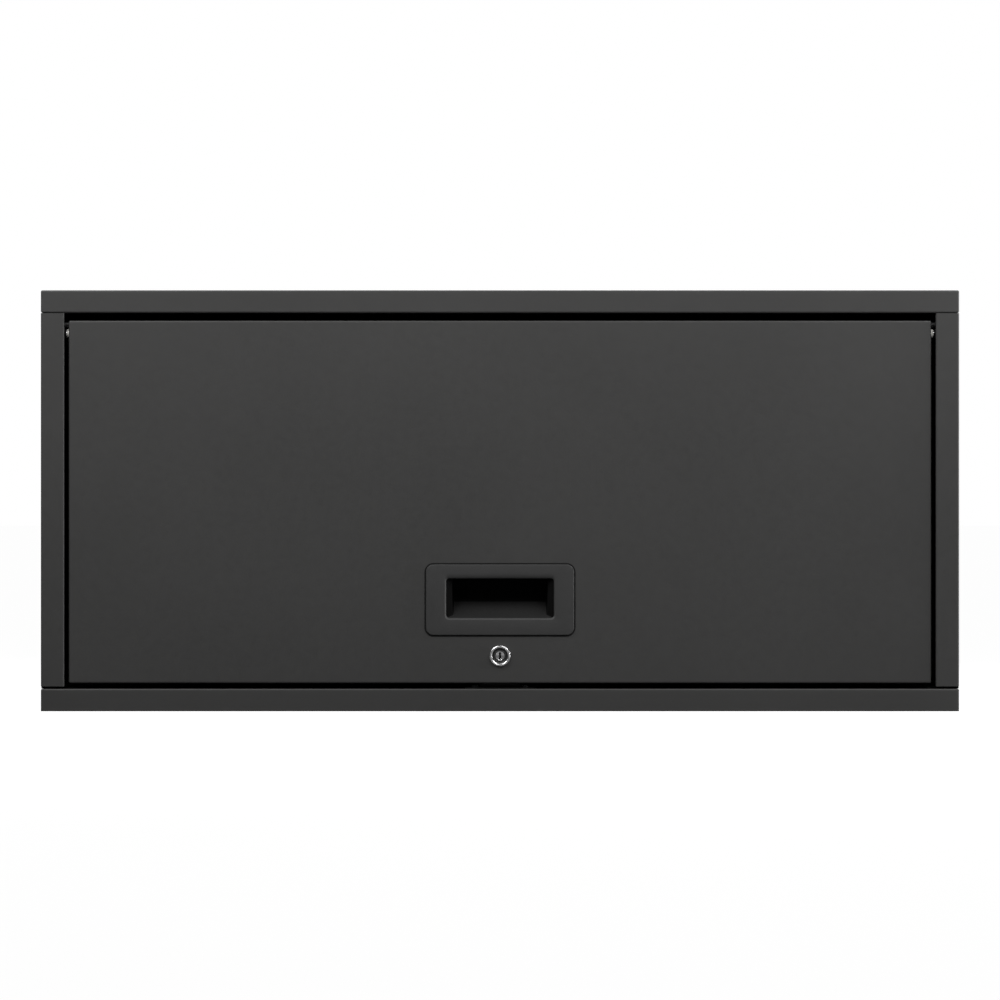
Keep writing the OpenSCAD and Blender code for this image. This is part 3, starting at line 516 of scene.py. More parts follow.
def slot_radius(angles, half_a, half_b):
    """Distance from the middle of a rectangle to its edge, along each angle."""
    c, s = np.maximum(np.abs(np.cos(angles)), 1e-9), np.maximum(np.abs(np.sin(angles)), 1e-9)
    return np.minimum(half_a / c, half_b / s)


def pan_head_screw(place, head, height, shank, length, steps=48):
    """A pan-head screw: a domed head with a cross recess, and a rolled thread below it.

    The recess is the outline of two crossed slots, drawn in as it goes down. The thread's radius waves
    with its height less the angle's share of one pitch, which is a helix.
    """
    a = full_turn(steps)
    arm, wide = head * 0.30, head * 0.062
    cross = np.maximum(slot_radius(a, arm, wide), slot_radius(a, wide, arm))
    u = np.radians(np.linspace(0, 62, 7))
    crown = [(head / 2 * np.cos(v), height * np.sin(v) / np.sin(u[-1])) for v in u]
    top = crown[-1][1]
    recess = [(cross * 1.12, top), (cross, top - 0.04 * head), (cross * 0.62, top - 0.26 * head),
              (cross * 0.02, top - 0.30 * head)]
    pitch = shank * 0.175
    z = np.linspace(0, -length, max(8, int(length / pitch * 5)))
    taper = np.clip((length + z) / (shank * 0.3), 0.55, 1)
    thread = [(shank / 2 * t * (0.93 + 0.07 * np.cos(2 * math.pi * h / pitch - a)), h)
              for h, t in zip(z, taper)]
    return lofted(star_rings(thread[::-1] + [(shank / 2, 0.0), (head / 2, 0.0)] + crown + recess, a), place)


def screw_in(way, lo, hi, shank):
    """A pan-head screw that fills the box from lo to hi, its head at the end that the way points to."""
    axis = "XYZ".index(way[1])
    across = 2 if axis == 0 else 0
    at = (np.array(lo) + np.array(hi)) / 2
    at[axis] = hi[axis] - SCREW_HEAD if way[0] == "+" else lo[axis] + SCREW_HEAD
    return pan_head_screw(facing(way, at), hi[across] - lo[across], SCREW_HEAD, shank,
                          hi[axis] - lo[axis] - SCREW_HEAD)


def flat_washer(name, node, body, inner, steps):
    """A washer about the lock's axis with its four edges broken."""
    lo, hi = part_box(node)
    w, rim = hi.x, 0.15 * MM
    ring = [(inner, lo.y + rim), (inner + rim, lo.y), (w - rim, lo.y), (w, lo.y + rim), (w, hi.y - rim),
            (w - rim, hi.y), (inner + rim, hi.y), (inner, hi.y - rim)]
    finish_piece(name, lathe(ring, facing("+Y", (0, 0, LOCK_Z)), steps, loop=True), body, [node],
                 "bright_zinc")


def dome_rivet(place, head, rise, shank, grip):
    """A blind rivet: a domed head with the broken-off mandrel in its dimple, and a rolled tail behind."""
    u = np.radians(np.linspace(0, 72, 8))
    dome = np.stack([head / 2 * np.cos(u), rise * np.sin(u) / np.sin(u[-1])], axis=1)
    core = [(head * 0.15, rise), (head * 0.135, rise * 0.6), (head * 0.10, rise * 0.55),
            (head * 0.085, rise * 0.8), (0, rise * 0.86)]
    tail = [(0, -grip - rise), (shank * 0.4, -grip - rise), (shank * 0.72, -grip - rise * 0.8),
            (shank * 0.75, -grip - rise * 0.3),
            (shank * 0.55, -grip), (shank / 2, -grip), (shank / 2, 0), (head / 2 * 0.98, 0)]
    return lathe(np.concatenate([tail, dome, core]), place, 32)


def breaks(span, count, holes=(), half=8 * MM):
    """Evenly spaced break lines over a span, with a pair of lines round each hole and none too near it."""
    lines = np.linspace(span[0], span[1], count)[1:-1]
    for h in holes:
        lines = lines[np.abs(lines - h) > 1.5 * half]
    pairs = [[h - half, h + half] for h in holes]
    return np.unique(np.round(np.concatenate([span, lines, *pairs]), 8))


def round_hole(x, y, r):
    """A round hole for a plate."""
    return (x - r, x + r, y - r, y + r, r)


def mount(name):
    """The sizes of one of the record's mounts, in metres."""
    found = [m["dims"] for m in frame["record"]["mounts"] if m["name"] == name]
    if not found:
        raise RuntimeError(f"the record has no mount named {name}")
    return {key.replace("_mm", ""): value * MM for key, value in found[0].items() if key.endswith("_mm")}


def node_boxes(name):
    """The two corners of each separate solid of a CAD node, found by its loose pieces, in a fixed order."""
    bm = bmesh.new()
    bm.from_mesh(frame["nodes"][name].data)
    bmesh.ops.remove_doubles(bm, verts=bm.verts, dist=1e-6)
    left = set(bm.verts)
    out = []
    while left:
        stack = [left.pop()]
        group = []
        while stack:
            v = stack.pop()
            group.append(v.co[:])
            for e in v.link_edges:
                w = e.other_vert(v)
                if w in left:
                    left.discard(w)
                    stack.append(w)
        co = np.array(group)
        out.append((co.min(0), co.max(0)))
    bm.free()
    return sorted(out, key=lambda box: tuple(box[0]))


# ---- finishes -------------------------------------------------------------------------------

class Nodes:
    """A small helper that adds nodes to a material and links them."""

    def __init__(self, name):
        self.material = bpy.data.materials.new(name)
        self.material.use_nodes = True
        self.tree = self.material.node_tree
        self.tree.nodes.clear()
        self.shader = self.add("ShaderNodeBsdfPrincipled")
        out = self.add("ShaderNodeOutputMaterial")
        self.link(self.shader.outputs["BSDF"], out.inputs["Surface"])
        self.place = self.add("ShaderNodeTexCoord").outputs["Object"]

    def add(self, kind, **values):
        node = self.tree.nodes.new(kind)
        for key, value in values.items():
            setattr(node, key, value)
        return node

    def link(self, a, b):
        self.tree.links.new(a, b)

    def noise(self, scale, detail=2.0, roughness=0.5, stretch=None):
        """Noise on Object coordinates, stretched along an axis if asked."""
        node = self.add("ShaderNodeTexNoise")
        node.inputs["Scale"].default_value = scale
        node.inputs["Detail"].default_value = detail
        node.inputs["Roughness"].default_value = roughness
        source = self.place
        if stretch:
            mapping = self.add("ShaderNodeMapping")
            mapping.inputs["Scale"].default_value = stretch
            self.link(self.place, mapping.inputs["Vector"])
            source = mapping.outputs["Vector"]
        self.link(source, node.inputs["Vector"])
        return node.outputs["Fac"]

    def ranged(self, value, low, high, from_low=0.3, from_high=0.7):
        """Maps a value between two limits."""
        node = self.add("ShaderNodeMapRange")
        node.inputs["From Min"].default_value = from_low
        node.inputs["From Max"].default_value = from_high
        node.inputs["To Min"].default_value = low
        node.inputs["To Max"].default_value = high
        self.link(value, node.inputs["Value"])
        return node.outputs["Result"]

    def blend(self, value, a, b):
        """Mixes two colours by a value."""
        node = self.add("ShaderNodeMix", data_type="RGBA")
        node.inputs["A"].default_value = (*a, 1)
        node.inputs["B"].default_value = (*b, 1)
        self.link(value, node.inputs["Factor"])
        return node.outputs["Result"]

    def bump(self, height, depth, normal=None):
        """Raises the surface by height times depth, in metres."""
        node = self.add("ShaderNodeBump")
        node.inputs["Strength"].default_value = 1.0
        node.inputs["Distance"].default_value = depth
        self.link(height, node.inputs["Height"])
        if normal is not None:
            self.link(normal, node.inputs["Normal"])
        return node.outputs["Normal"]

    def plain(self, **sockets):
        """Sets sockets that are the same all over the surface."""
        for key, value in sockets.items():
            self.shader.inputs[key.replace("_", " ")].default_value = value


def shade(colour, factor):
    """A colour made lighter or darker."""
    return tuple(min(1.0, c * factor) for c in colour)


def painted(name, colour, roughness, peel):
    """Satin powder coat: faint clouds of tone, fine orange peel over a finer tooth, uneven gloss."""
    n = Nodes(name)
    clouds = n.ranged(n.noise(5.0, 3.0), 0, 1)
    n.link(n.blend(clouds, shade(colour, 0.93), shade(colour, 1.07)), n.shader.inputs["Base Color"])
    n.link(n.ranged(n.noise(160.0, 2.0), roughness - 0.04, roughness + 0.04), n.shader.inputs["Roughness"])
    peel_normal = n.bump(n.noise(420.0, 2.0), peel)
    n.link(n.bump(n.noise(2600.0, 1.0), peel * 0.3, peel_normal), n.shader.inputs["Normal"])
    return n.material


def moulded(name, colour, roughness, grain, scale=1500.0, gloss=0.5, seam=None):
    """Moulded plastic with a fine grain and faint flow marks, painted black as shade where the named
    attribute is 1.
    """
    n = Nodes(name)
    flow = n.ranged(n.noise(12.0, 3.0, stretch=(1.0, 1.0, 2.5)), 0, 1)
    tone = n.blend(flow, shade(colour, 0.92), shade(colour, 1.08))
    if seam:
        # Painted shade: points where the named attribute is 1 are painted near black and matt, standing in
        # for the shade of a groove or a deep recess.
        mark = n.add("ShaderNodeAttribute", attribute_name=seam).outputs["Fac"]
        dark = n.add("ShaderNodeMix", data_type="RGBA")
        dark.inputs["B"].default_value = (0.001, 0.001, 0.001, 1)
        n.link(tone, dark.inputs["A"])
        n.link(mark, dark.inputs["Factor"])
        tone = dark.outputs["Result"]
    n.link(tone, n.shader.inputs["Base Color"])
    rough = n.ranged(n.noise(300.0, 2.0), roughness - 0.05, roughness + 0.05)
    if seam:
        matt = n.add("ShaderNodeMath", operation="MAXIMUM")
        n.link(rough, matt.inputs[0])
        n.link(mark, matt.inputs[1])
        rough = matt.outputs["Value"]
    n.link(rough, n.shader.inputs["Roughness"])
    n.plain(Specular_IOR_Level=gloss)
    n.link(n.bump(n.noise(scale, 2.0), grain), n.shader.inputs["Normal"])
    return n.material


def plated(name, colour, roughness, scratch=0.004 * MM, stretch=(1.0, 1.0, 14.0), spangle=0.0):
    """Plated or galvanised steel: drawn scratches, uneven gloss, and crystal spangle where there is any."""
    n = Nodes(name)
    if spangle:
        cells = n.add("ShaderNodeTexVoronoi")
        cells.inputs["Scale"].default_value = spangle
        n.link(n.place, cells.inputs["Vector"])
        tone = n.add("ShaderNodeSeparateColor")
        n.link(cells.outputs["Color"], tone.inputs["Color"])
        value = tone.outputs["Red"]
        low, high = 0.0, 1.0
    else:
        value = n.noise(60.0, 3.0)
        low, high = 0.3, 0.7
    n.link(n.blend(n.ranged(value, 0, 1, low, high), shade(colour, 0.86), shade(colour, 1.1)),
           n.shader.inputs["Base Color"])
    n.link(n.ranged(value, roughness - 0.06, roughness + 0.06, low, high), n.shader.inputs["Roughness"])
    n.link(n.bump(n.noise(900.0, 2.0, stretch=stretch), scratch), n.shader.inputs["Normal"])
    n.plain(Metallic=1.0)
    return n.material


def chrome_painted_dark(name, colour, dark, roughness, inner, outer, depth):
    """Chrome with a painted dark reflection in a ring about the lock's axis, and painted shade behind a
    depth.

    Both are found from Object coordinates.
    """
    n = Nodes(name)
    axes = n.add("ShaderNodeSeparateXYZ")
    n.link(n.place, axes.inputs[0])
    flat = n.add("ShaderNodeVectorMath", operation="SUBTRACT")
    flat.inputs[1].default_value = (0, 0, LOCK_Z)
    n.link(n.place, flat.inputs[0])
    squash = n.add("ShaderNodeVectorMath", operation="MULTIPLY")
    squash.inputs[1].default_value = (1, 0, 1)
    n.link(flat.outputs["Vector"], squash.inputs[0])
    radius = n.add("ShaderNodeVectorMath", operation="LENGTH")
    n.link(squash.outputs["Vector"], radius.inputs[0])
    soft = 0.12 * MM
    rise = n.ranged(radius.outputs["Value"], 0, 1, inner - soft, inner + soft)
    fall = n.ranged(radius.outputs["Value"], 1, 0, outer - soft, outer + soft)
    ring = n.add("ShaderNodeMath", operation="MULTIPLY")
    n.link(rise, ring.inputs[0])
    n.link(fall, ring.inputs[1])
    behind = n.add("ShaderNodeMath", operation="MAXIMUM")
    n.link(ring.outputs["Value"], behind.inputs[0])
    n.link(n.ranged(axes.outputs["Y"], 0, 1, depth - soft, depth + soft), behind.inputs[1])
    painted_dark_mask = behind.outputs["Value"]
    # Painted dark reflection in the ring and painted shade behind the depth: dark, less metallic and rougher
    # there.
    n.link(n.blend(painted_dark_mask, colour, dark), n.shader.inputs["Base Color"])
    n.link(n.ranged(painted_dark_mask, 1, 0.2, 0, 1), n.shader.inputs["Metallic"])
    n.link(n.ranged(painted_dark_mask, roughness, 0.4, 0, 1), n.shader.inputs["Roughness"])
    n.link(n.bump(n.noise(900.0, 2.0), 0.001 * MM), n.shader.inputs["Normal"])
    return n.material


def rubbery(name, colour):
    """Matt rubber with a bloom of paler dust and a fine skin."""
    n = Nodes(name)
    dust = n.ranged(n.noise(80.0, 4.0), 0, 1, 0.35, 0.75)
    n.link(n.blend(dust, colour, shade(colour, 1.9)), n.shader.inputs["Base Color"])
    n.link(n.ranged(n.noise(500.0, 2.0), 0.72, 0.9), n.shader.inputs["Roughness"])
    n.link(n.bump(n.noise(1800.0, 2.0), 0.01 * MM), n.shader.inputs["Normal"])
    return n.material


MADE = {}  # finishes made so far, by name


def material(name):
    """One of the finishes, made the first time it is asked for."""
    if name in MADE:
        return MADE[name]
    _, fin, _ = settings()
    rough, peel = fin.paint_roughness, fin.peel_depth
    along_x, along_z = (1.0, 14.0, 14.0), (14.0, 14.0, 1.0)
    makers = {
        "charcoal_powder_coat": (painted, fin.paint, rough, peel),
        "inner_powder_coat": (painted, shade(fin.paint, 0.9), rough + 0.08, peel * 1.5),
        # Near-black paint for the strike and the stop pins in the door's gaps: painted shade, so they read as
        # the gaps' shadow.
        "black_paint": (painted, (0.006, 0.006, 0.006), 0.6, peel),
        "rivet_paint": (painted, shade(fin.paint, 0.8), rough - 0.06, peel * 0.5),
        # The bezel's moulding paints its low seam black: painted shade.
        "grained_moulding": (moulded, fin.moulding, rough, 0.006 * MM, 1500.0, 0.5, "seam"),
        "black_moulding": (moulded, fin.pocket, 0.62, 0.02 * MM, 900.0, 0.15),
        # Pocket moulding: its deep walls are painted near black, a painted shade; only the sloping ramp keeps
        # the moulding's tone.
        "pocket_moulding": (moulded, shade(fin.pocket, 1.35), 0.62, 0.02 * MM, 900.0, 0.15, "deep"),
        "pale_nylon": (moulded, fin.nylon, 0.42, 0.006 * MM, 1200.0),
        "galvanised_steel": (plated, (0.50, 0.51, 0.52), 0.38, 0.004 * MM, along_z, 160.0),
        "bright_zinc": (plated, (0.60, 0.61, 0.62), 0.28, 0.004 * MM, along_z),
        "rod_steel": (plated, (0.62, 0.62, 0.63), 0.22, 0.003 * MM, along_x),
        # The lock's chrome is painted dark in a ring, a painted reflection, and behind a depth, a painted
        # shade.
        "plug_chrome": (chrome_painted_dark, fin.chrome, (0.010, 0.010, 0.010), 0.22, 4.4 * MM, 8.1 * MM,
                        PLUG_LO.y + 1.2 * MM),
        "lock_face_chrome": (chrome_painted_dark, fin.chrome, (0.010, 0.010, 0.010), 0.26, 5.7 * MM, 8.1 * MM,
                             SKIN_INSIDE),
        "black_rubber": (rubbery, (0.018, 0.018, 0.018)),
    }
    maker, *values = makers[name]
    MADE[name] = maker(name, *values)
    return MADE[name]


# ---- case -----------------------------------------------------------------------------------

def pan(section, z, bolts_x=(), bolts_y=(), radius=0):
    """A pan the size of the case: its flat face at z, its rim a section, and holes for bolts."""
    shape, _, _ = settings()
    half_y = (BACK - FRONT) / 2
    xs = breaks((FLAT_EDGE - HALF_W, HALF_W - FLAT_EDGE), 13, bolts_x)
    ys = breaks((FLAT_EDGE - half_y, half_y - FLAT_EDGE), 7, bolts_y)
    rim = bent_path(section, shape.bend)
    shell = Shell().grid(pan_rings(HALF_W, half_y, shape.bend, rim, xs[1:-1], ys[1:-1]), ring=True)
    holes = [round_hole(x, y, radius) for x in bolts_x for y in bolts_y]
    return shell.plate(xs, ys, level(z), holes=holes)


class BuildCap(Operator):
    """Top cap: a pan folded down on all four sides, with lips turned in below"""

    bl_idname = "drop_box.build_cap"
    bl_label = "Top cap"

    def execute(self, context):
        shape, _, _ = settings()
        rim = [(FLAT_EDGE, CAP_HI.z), (0, CAP_HI.z), (0, CAP_LO.z), (shape.lip, CAP_LO.z)]
        finish_piece("cap_shell", pan(rim, CAP_HI.z), "cabinet", ["top_cap"],
                     "charcoal_powder_coat", wall=SHEET)
        return {"FINISHED"}


class BuildBase(Operator):
    """Base: a deck with a skirt folded down all round it, bolt holes, foot rails and anchor tubes"""

    bl_idname = "drop_box.build_base"
    bl_label = "Base"

    def execute(self, context):
        shape, _, _ = settings()
        half_y = (BACK - FRONT) / 2
        bolts = mount("base_bolts")
        bx, by, br = bolts["spacing_x"] / 2, bolts["spacing_y"] / 2, bolts["hole_r"]
        corners = [(x, y) for x in (-bx, bx) for y in (-by, by)]
        rim = [(FLAT_EDGE, BASE_HI.z), (0, BASE_HI.z), (0, BASE_LO.z)]
        shell = pan(rim, BASE_HI.z, (-bx, bx), (-by, by), br)
        finish_piece("base_shell", shell, "cabinet", ["base_pan"], "charcoal_powder_coat",
                     wall=SHEET)

        half = SHEET / 2
        lo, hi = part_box("base_rails")
        angle = bent_path([(shape.lip, half), (half, half), (half, hi.z)], shape.bend - half, 5)
        rails = []
        for side in (-1, 1):
            inward = side * (half_y - SHEET - angle[:, 0])
            rails.append(swept(np.stack([inward, angle[:, 1]], axis=1), (lo.x, hi.x), along("X")))
            inward = side * (HALF_W - SHEET - angle[:, 0])
            reach = half_y - SHEET - shape.lip - 0.3 * MM
            rails.append(swept(np.stack([inward, angle[:, 1]], axis=1), (-reach, reach), along("Y")))
        finish_piece("foot_rails", rails, "cabinet", ["base_rails"], "inner_powder_coat",
                     wall=SHEET, centred=True)

        lo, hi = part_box("anchor_tubes")
        outer = hi.x - bx
        rim = 0.5 * MM
        tube = [(br, lo.z + rim), (br + rim, lo.z), (outer - rim, lo.z), (outer, lo.z + rim),
                (outer, hi.z - rim), (outer - rim, hi.z), (br + rim, hi.z), (br, hi.z - rim)]
        tubes = [lathe(tube, facing("+Z", (x, y, 0)), loop=True) for x, y in corners]
        finish_piece("bolt_tubes", tubes, "cabinet", ["anchor_tubes"], "bright_zinc")
        return {"FINISHED"}


class BuildSides(Operator):
    """Side panels: each a wall with a folded front post, and flanges at the back, top and foot"""

    bl_idname = "drop_box.build_sides"
    bl_label = "Side panels"

    def execute(self, context):
        shape, _, _ = settings()
        half = SHEET / 2
        corners = [(POST_X + half, FRONT + shape.post_return), (POST_X + half, FRONT + half),
                   (HALF_W - half, FRONT + half), (HALF_W - half, BACK - half),
                   (HALF_W - shape.lip, BACK - half)]
        path = bent_path(corners, shape.bend - half)
        step = np.array([[HALF_W - half, FRONT + shape.post_return + 2 * MM]])
        cut = np.flatnonzero(path[:, 1] > step[0, 1])[0]
        path = np.concatenate([path[:cut], step, path[cut:]])
        front = np.arange(len(path) - 1) < cut
        low = np.where(front, BASE_HI.z + shape.relief, BASE_HI.z)
        high = np.where(front, CAP_LO.z - 0.3 * MM, CAP_LO.z)
        for side, name in ((-1, "left"), (1, "right")):
            turned = path * np.array([side, 1])
            shells = [curtain(turned, low, high)]
            xs = np.sort(side * np.array([HALF_W - shape.lip, HALF_W - shape.lip / 2, HALF_W - half]))
            ys = np.linspace(FRONT + 20 * MM, BACK - 4 * MM, 7)
            shells += [Shell().plate(xs, ys, level(z)) for z in (BASE_HI.z + half, CAP_LO.z - half)]
            finish_piece(f"{name}_side_shell", shells, "cabinet", [f"{name}_side_panel"],
                         "charcoal_powder_coat", wall=SHEET, centred=True)
        return {"FINISHED"}


class BuildBack(Operator):
    """Back sheet, with the four holes for wall bolts"""

    bl_idname = "drop_box.build_back"
    bl_label = "Back panel"

    def execute(self, context):
        bolts = mount("wall_bolts")
        bx, bz, br = bolts["spacing_x"] / 2, bolts["spacing_y"] / 2, bolts["hole_r"]
        middle = (BACK_LO.z + BACK_HI.z) / 2
        rows = (middle - bz, middle + bz)
        xs = breaks((BACK_LO.x, BACK_HI.x), 13, (-bx, bx))
        zs = breaks((BACK_LO.z, BACK_HI.z), 7, rows)
        holes = [round_hole(x, z, br) for x in (-bx, bx) for z in rows]
        shell = Shell().plate(xs, zs, upright((BACK_LO.y + BACK_HI.y) / 2), holes=holes)
        finish_piece("back_sheet", shell, "cabinet", ["back_panel"], "charcoal_powder_coat",
                     wall=SHEET, centred=True)
        return {"FINISHED"}


def hat_path(width, depth, thickness, radius):
    """The middle line of a hat section, feet at height 0 and crown at -depth."""
    half = thickness / 2
    web = width / 4 + half
    return bent_path([(-width / 2, -half), (-web, -half), (-web, half - depth), (web, half - depth),
                      (web, -half), (width / 2, -half)], radius, 5)


class BuildStiffeners(Operator):
    """Hat-shaped stiffeners under the top and under the deck, and the rivets of the case"""

    bl_idname = "drop_box.build_stiffeners"
    bl_label = "Stiffeners and rivets"

    def execute(self, context):
        for node in ("top_stiffener", "deck_stiffener"):
            lo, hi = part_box(node)
            path = hat_path(hi.y - lo.y, hi.z - lo.z, DOOR_SHEET, 1.5 * MM) + np.array([0, hi.z])
            finish_piece(f"{node}_channel", swept(path, (lo.x, hi.x), along("X")), "cabinet", [node],
                         "inner_powder_coat", wall=DOOR_SHEET, centred=True)
        for node, tall in (("case_rivets", 2), ("back_rivets", 1)):
            rivets = []
            for lo, hi in node_boxes(node):
                mid = (lo + hi) / 2
                head = hi[0] - lo[0]
                rise = (hi[tall] - lo[tall] - 2 * SHEET) / 2
                low = mid[2] < (CAP_LO.z + BASE_HI.z) / 2
                if tall == 1:
                    place = facing("+Y", (mid[0], hi[1] - rise, mid[2]))
                elif low:
                    place = facing("+Z", (mid[0], mid[1], hi[2] - rise))
                else:
                    place = facing("-Z", (mid[0], mid[1], lo[2] + rise))
                rivets.append(dome_rivet(place, head, rise, head / 2, 2 * SHEET))
            finish_piece(f"{node}_pop", rivets, "cabinet", [node], "rivet_paint")
        return {"FINISHED"}


# ---- runner ---------------------------------------------------------------------------------

class BuildTracks(Operator):
    """Tracks: galvanised channels with retaining lips, their screws, rear stops and front bumpers"""

    bl_idname = "drop_box.build_tracks"
    bl_label = "Tracks"

    def execute(self, context):
        half = SHEET / 2
        reach = TRACK_HI.z - PIVOT_Z
        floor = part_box("right_rack")[0].z
        lip = 5.2 * MM
        for side, name in ((-1, "left"), (1, "right")):
            web, inner = TRACK_HI.x - half, TRACK_LO.x + half
            upper = bent_path([(web, TRACK_LO.z), (web, PIVOT_Z + reach - half),
                               (inner, PIVOT_Z + reach - half), (inner, PIVOT_Z + reach - lip)],
                              1.1 * MM, 5)
            lower = bent_path([(web - SHEET, floor - half), (inner, floor - half),
                               (inner, floor - SHEET + lip)], 1.1 * MM, 5)
            shells = [swept(p * np.array([side, 1]), (TRACK_LO.y, TRACK_HI.y), along("Y"))
                      for p in (upper, lower)]
            finish_piece(f"{name}_track_channel", shells, "cabinet", [f"{name}_track"],
                         "galvanised_steel", wall=SHEET, centred=True)
        screws = [screw_in("-X" if lo[0] > 0 else "+X", lo, hi, 4 * MM)
                  for lo, hi in node_boxes("track_screws")]
        finish_piece("track_pan_screws", screws, "cabinet", ["track_screws"], "bright_zinc")
        for node, corner, rim in (("rear_stops", 1.5 * MM, 1 * MM), ("front_bumpers", 0.5 * MM, 0.8 * MM)):
            blocks = [rounded_block(lo, hi, corner, rim) for lo, hi in node_boxes(node)]
            finish_piece(f"{node}_rubber", blocks, "cabinet", [node], "black_rubber")
        return {"FINISHED"}


class FinishRunner(Operator):
    """Racks, pinions, rod and glides keep the frame's own shapes: soft edges and finishes are added"""

    bl_idname = "drop_box.finish_runner"
    bl_label = "Racks, pinions, rod and glides"

    def execute(self, context):
        for name, finish, rim in (
                ("left_rack", "pale_nylon", 0.15), ("right_rack", "pale_nylon", 0.15),
                ("left_pinion", "pale_nylon", 0.12), ("right_pinion", "pale_nylon", 0.12),
                ("pivot_rod", "rod_steel", 0.3), ("left_glide", "black_moulding", 0.4),
                ("right_glide", "black_moulding", 0.4), ("door_liner", "inner_powder_coat", 0)):
            node = frame["nodes"][name]
            node.data.materials.clear()
            node.data.materials.append(material(finish))
            if rim:
                soft = node.modifiers.new("soft edges", "BEVEL")
                soft.width = rim * MM
                soft.segments = 2
                soft.limit_method = "ANGLE"
                soft.angle_limit = math.radians(30)
                soft.use_clamp_overlap = True
        return {"FINISHED"}


class BuildStrike(Operator):
    """Strike: a folded plate on the deck that the lock's tongue drops behind, and its two screws"""

    bl_idname = "drop_box.build_strike"
    bl_label = "Lock strike"

    def execute(self, context):
        thick = 1.5 * MM
        half = thick / 2
        path = bent_path([(STRIKE_LO.y, STRIKE_LO.z + half), (STRIKE_HI.y - half, STRIKE_LO.z + half),
                          (STRIKE_HI.y - half, STRIKE_HI.z)], 1.3 * MM, 5)
        xs = np.array([-1, -0.8, -4 / 7, -0.3, 0, 0.3, 4 / 7, 0.8, 1]) * STRIKE_HI.x
        grid = np.stack([np.stack([np.full(len(path), x), path[:, 0], path[:, 1]], axis=1) for x in xs],
                        axis=1)
        lip = path[:-1, 0] > STRIKE_HI.y - half - 1.5 * MM
        wide = np.abs((xs[1:] + xs[:-1]) / 2) > 4 / 7 * STRIKE_HI.x
        shell = Shell().grid(grid, skip=lip[:, None] & wide[None, :])
        # The strike is painted near black: painted shade of the gap under the door.
        finish_piece("strike_plate", shell, "cabinet", ["lock_strike"], "black_paint",
                     wall=thick, centred=True)
        screws = [screw_in("+Z", lo, hi, 4 * MM) for lo, hi in node_boxes("strike_screws")]
        finish_piece("strike_pan_screws", screws, "cabinet", ["strike_screws"], "bright_zinc")
        return {"FINISHED"}


# ---- door -----------------------------------------------------------------------------------

class BuildDoor(Operator):
    """Door skin: a pan with a flat face, four returns and back lips, cut out for the handle and the lock"""

    bl_idname = "drop_box.build_door"
    bl_label = "Door skin"

    def execute(self, context):
        shape, _, _ = settings()
        edge = 6 * MM
        half_x = SKIN_HI.x
        half_z = (SKIN_HI.z - SKIN_LO.z) / 2
        mid_z = (SKIN_HI.z + SKIN_LO.z) / 2
        section = bent_path([(edge, SKIN_LO.y), (0, SKIN_LO.y), (0, SKIN_HI.y), (12 * MM, SKIN_HI.y)],
                            shape.bend)
        barrel = LOCK_BARREL + 0.1 * MM
        x0, x1, z0, z1 = pull_opening()
        grow = shape.wall + 0.1 * MM
        pegs = [(x, z) for x in (-PEG_X, PEG_X) for z in (HANDLE_Z - PEG_Z, HANDLE_Z + PEG_Z)]
        guard, peg_room, lock_room = 2.2 * MM, 3.6 * MM, 10.4 * MM
        inner_x = [x1 + grow + guard, PEG_X - peg_room, PEG_X + peg_room]
        xs = np.concatenate([breaks((edge - half_x, -BEZEL_HI.x), 6), -np.array(inner_x),
                             [-lock_room, lock_room], inner_x, breaks((BEZEL_HI.x, half_x - edge), 6)])
        zs = np.concatenate([[SKIN_LO.z + edge, LOCK_Z - lock_room, LOCK_Z + lock_room,
                              HANDLE_Z - PEG_Z - peg_room, HANDLE_Z - PEG_Z + peg_room,
                              z0 - grow - guard, z1 + grow + guard,
                              HANDLE_Z + PEG_Z - peg_room, HANDLE_Z + PEG_Z + peg_room],
                             np.linspace(HANDLE_Z + 60 * MM, SKIN_HI.z - edge, 5)])
        xs, zs = np.unique(np.round(xs, 8)), np.unique(np.round(zs, 8))
        holes = [round_hole(x, z, 2.6 * MM) for x, z in pegs]
        holes.append(round_hole(0, LOCK_Z, barrel))
        holes.append((x0 - grow, x1 + grow, z0 - grow, z1 + grow, shape.pull_corner + grow))
        rings = pan_rings(half_x, half_z, shape.bend, section, xs[1:-1], zs[1:-1] - mid_z)
        stood = rings[:, :, [0, 2, 1]] + np.array([0, 0, mid_z])
        shell = Shell().grid(stood, ring=True).plate(xs, zs, upright(SKIN_LO.y), holes=holes)
        finish_piece("door_shell", shell, "door", ["door_skin"], "charcoal_powder_coat",
                     wall=DOOR_SHEET)
        return {"FINISHED"}


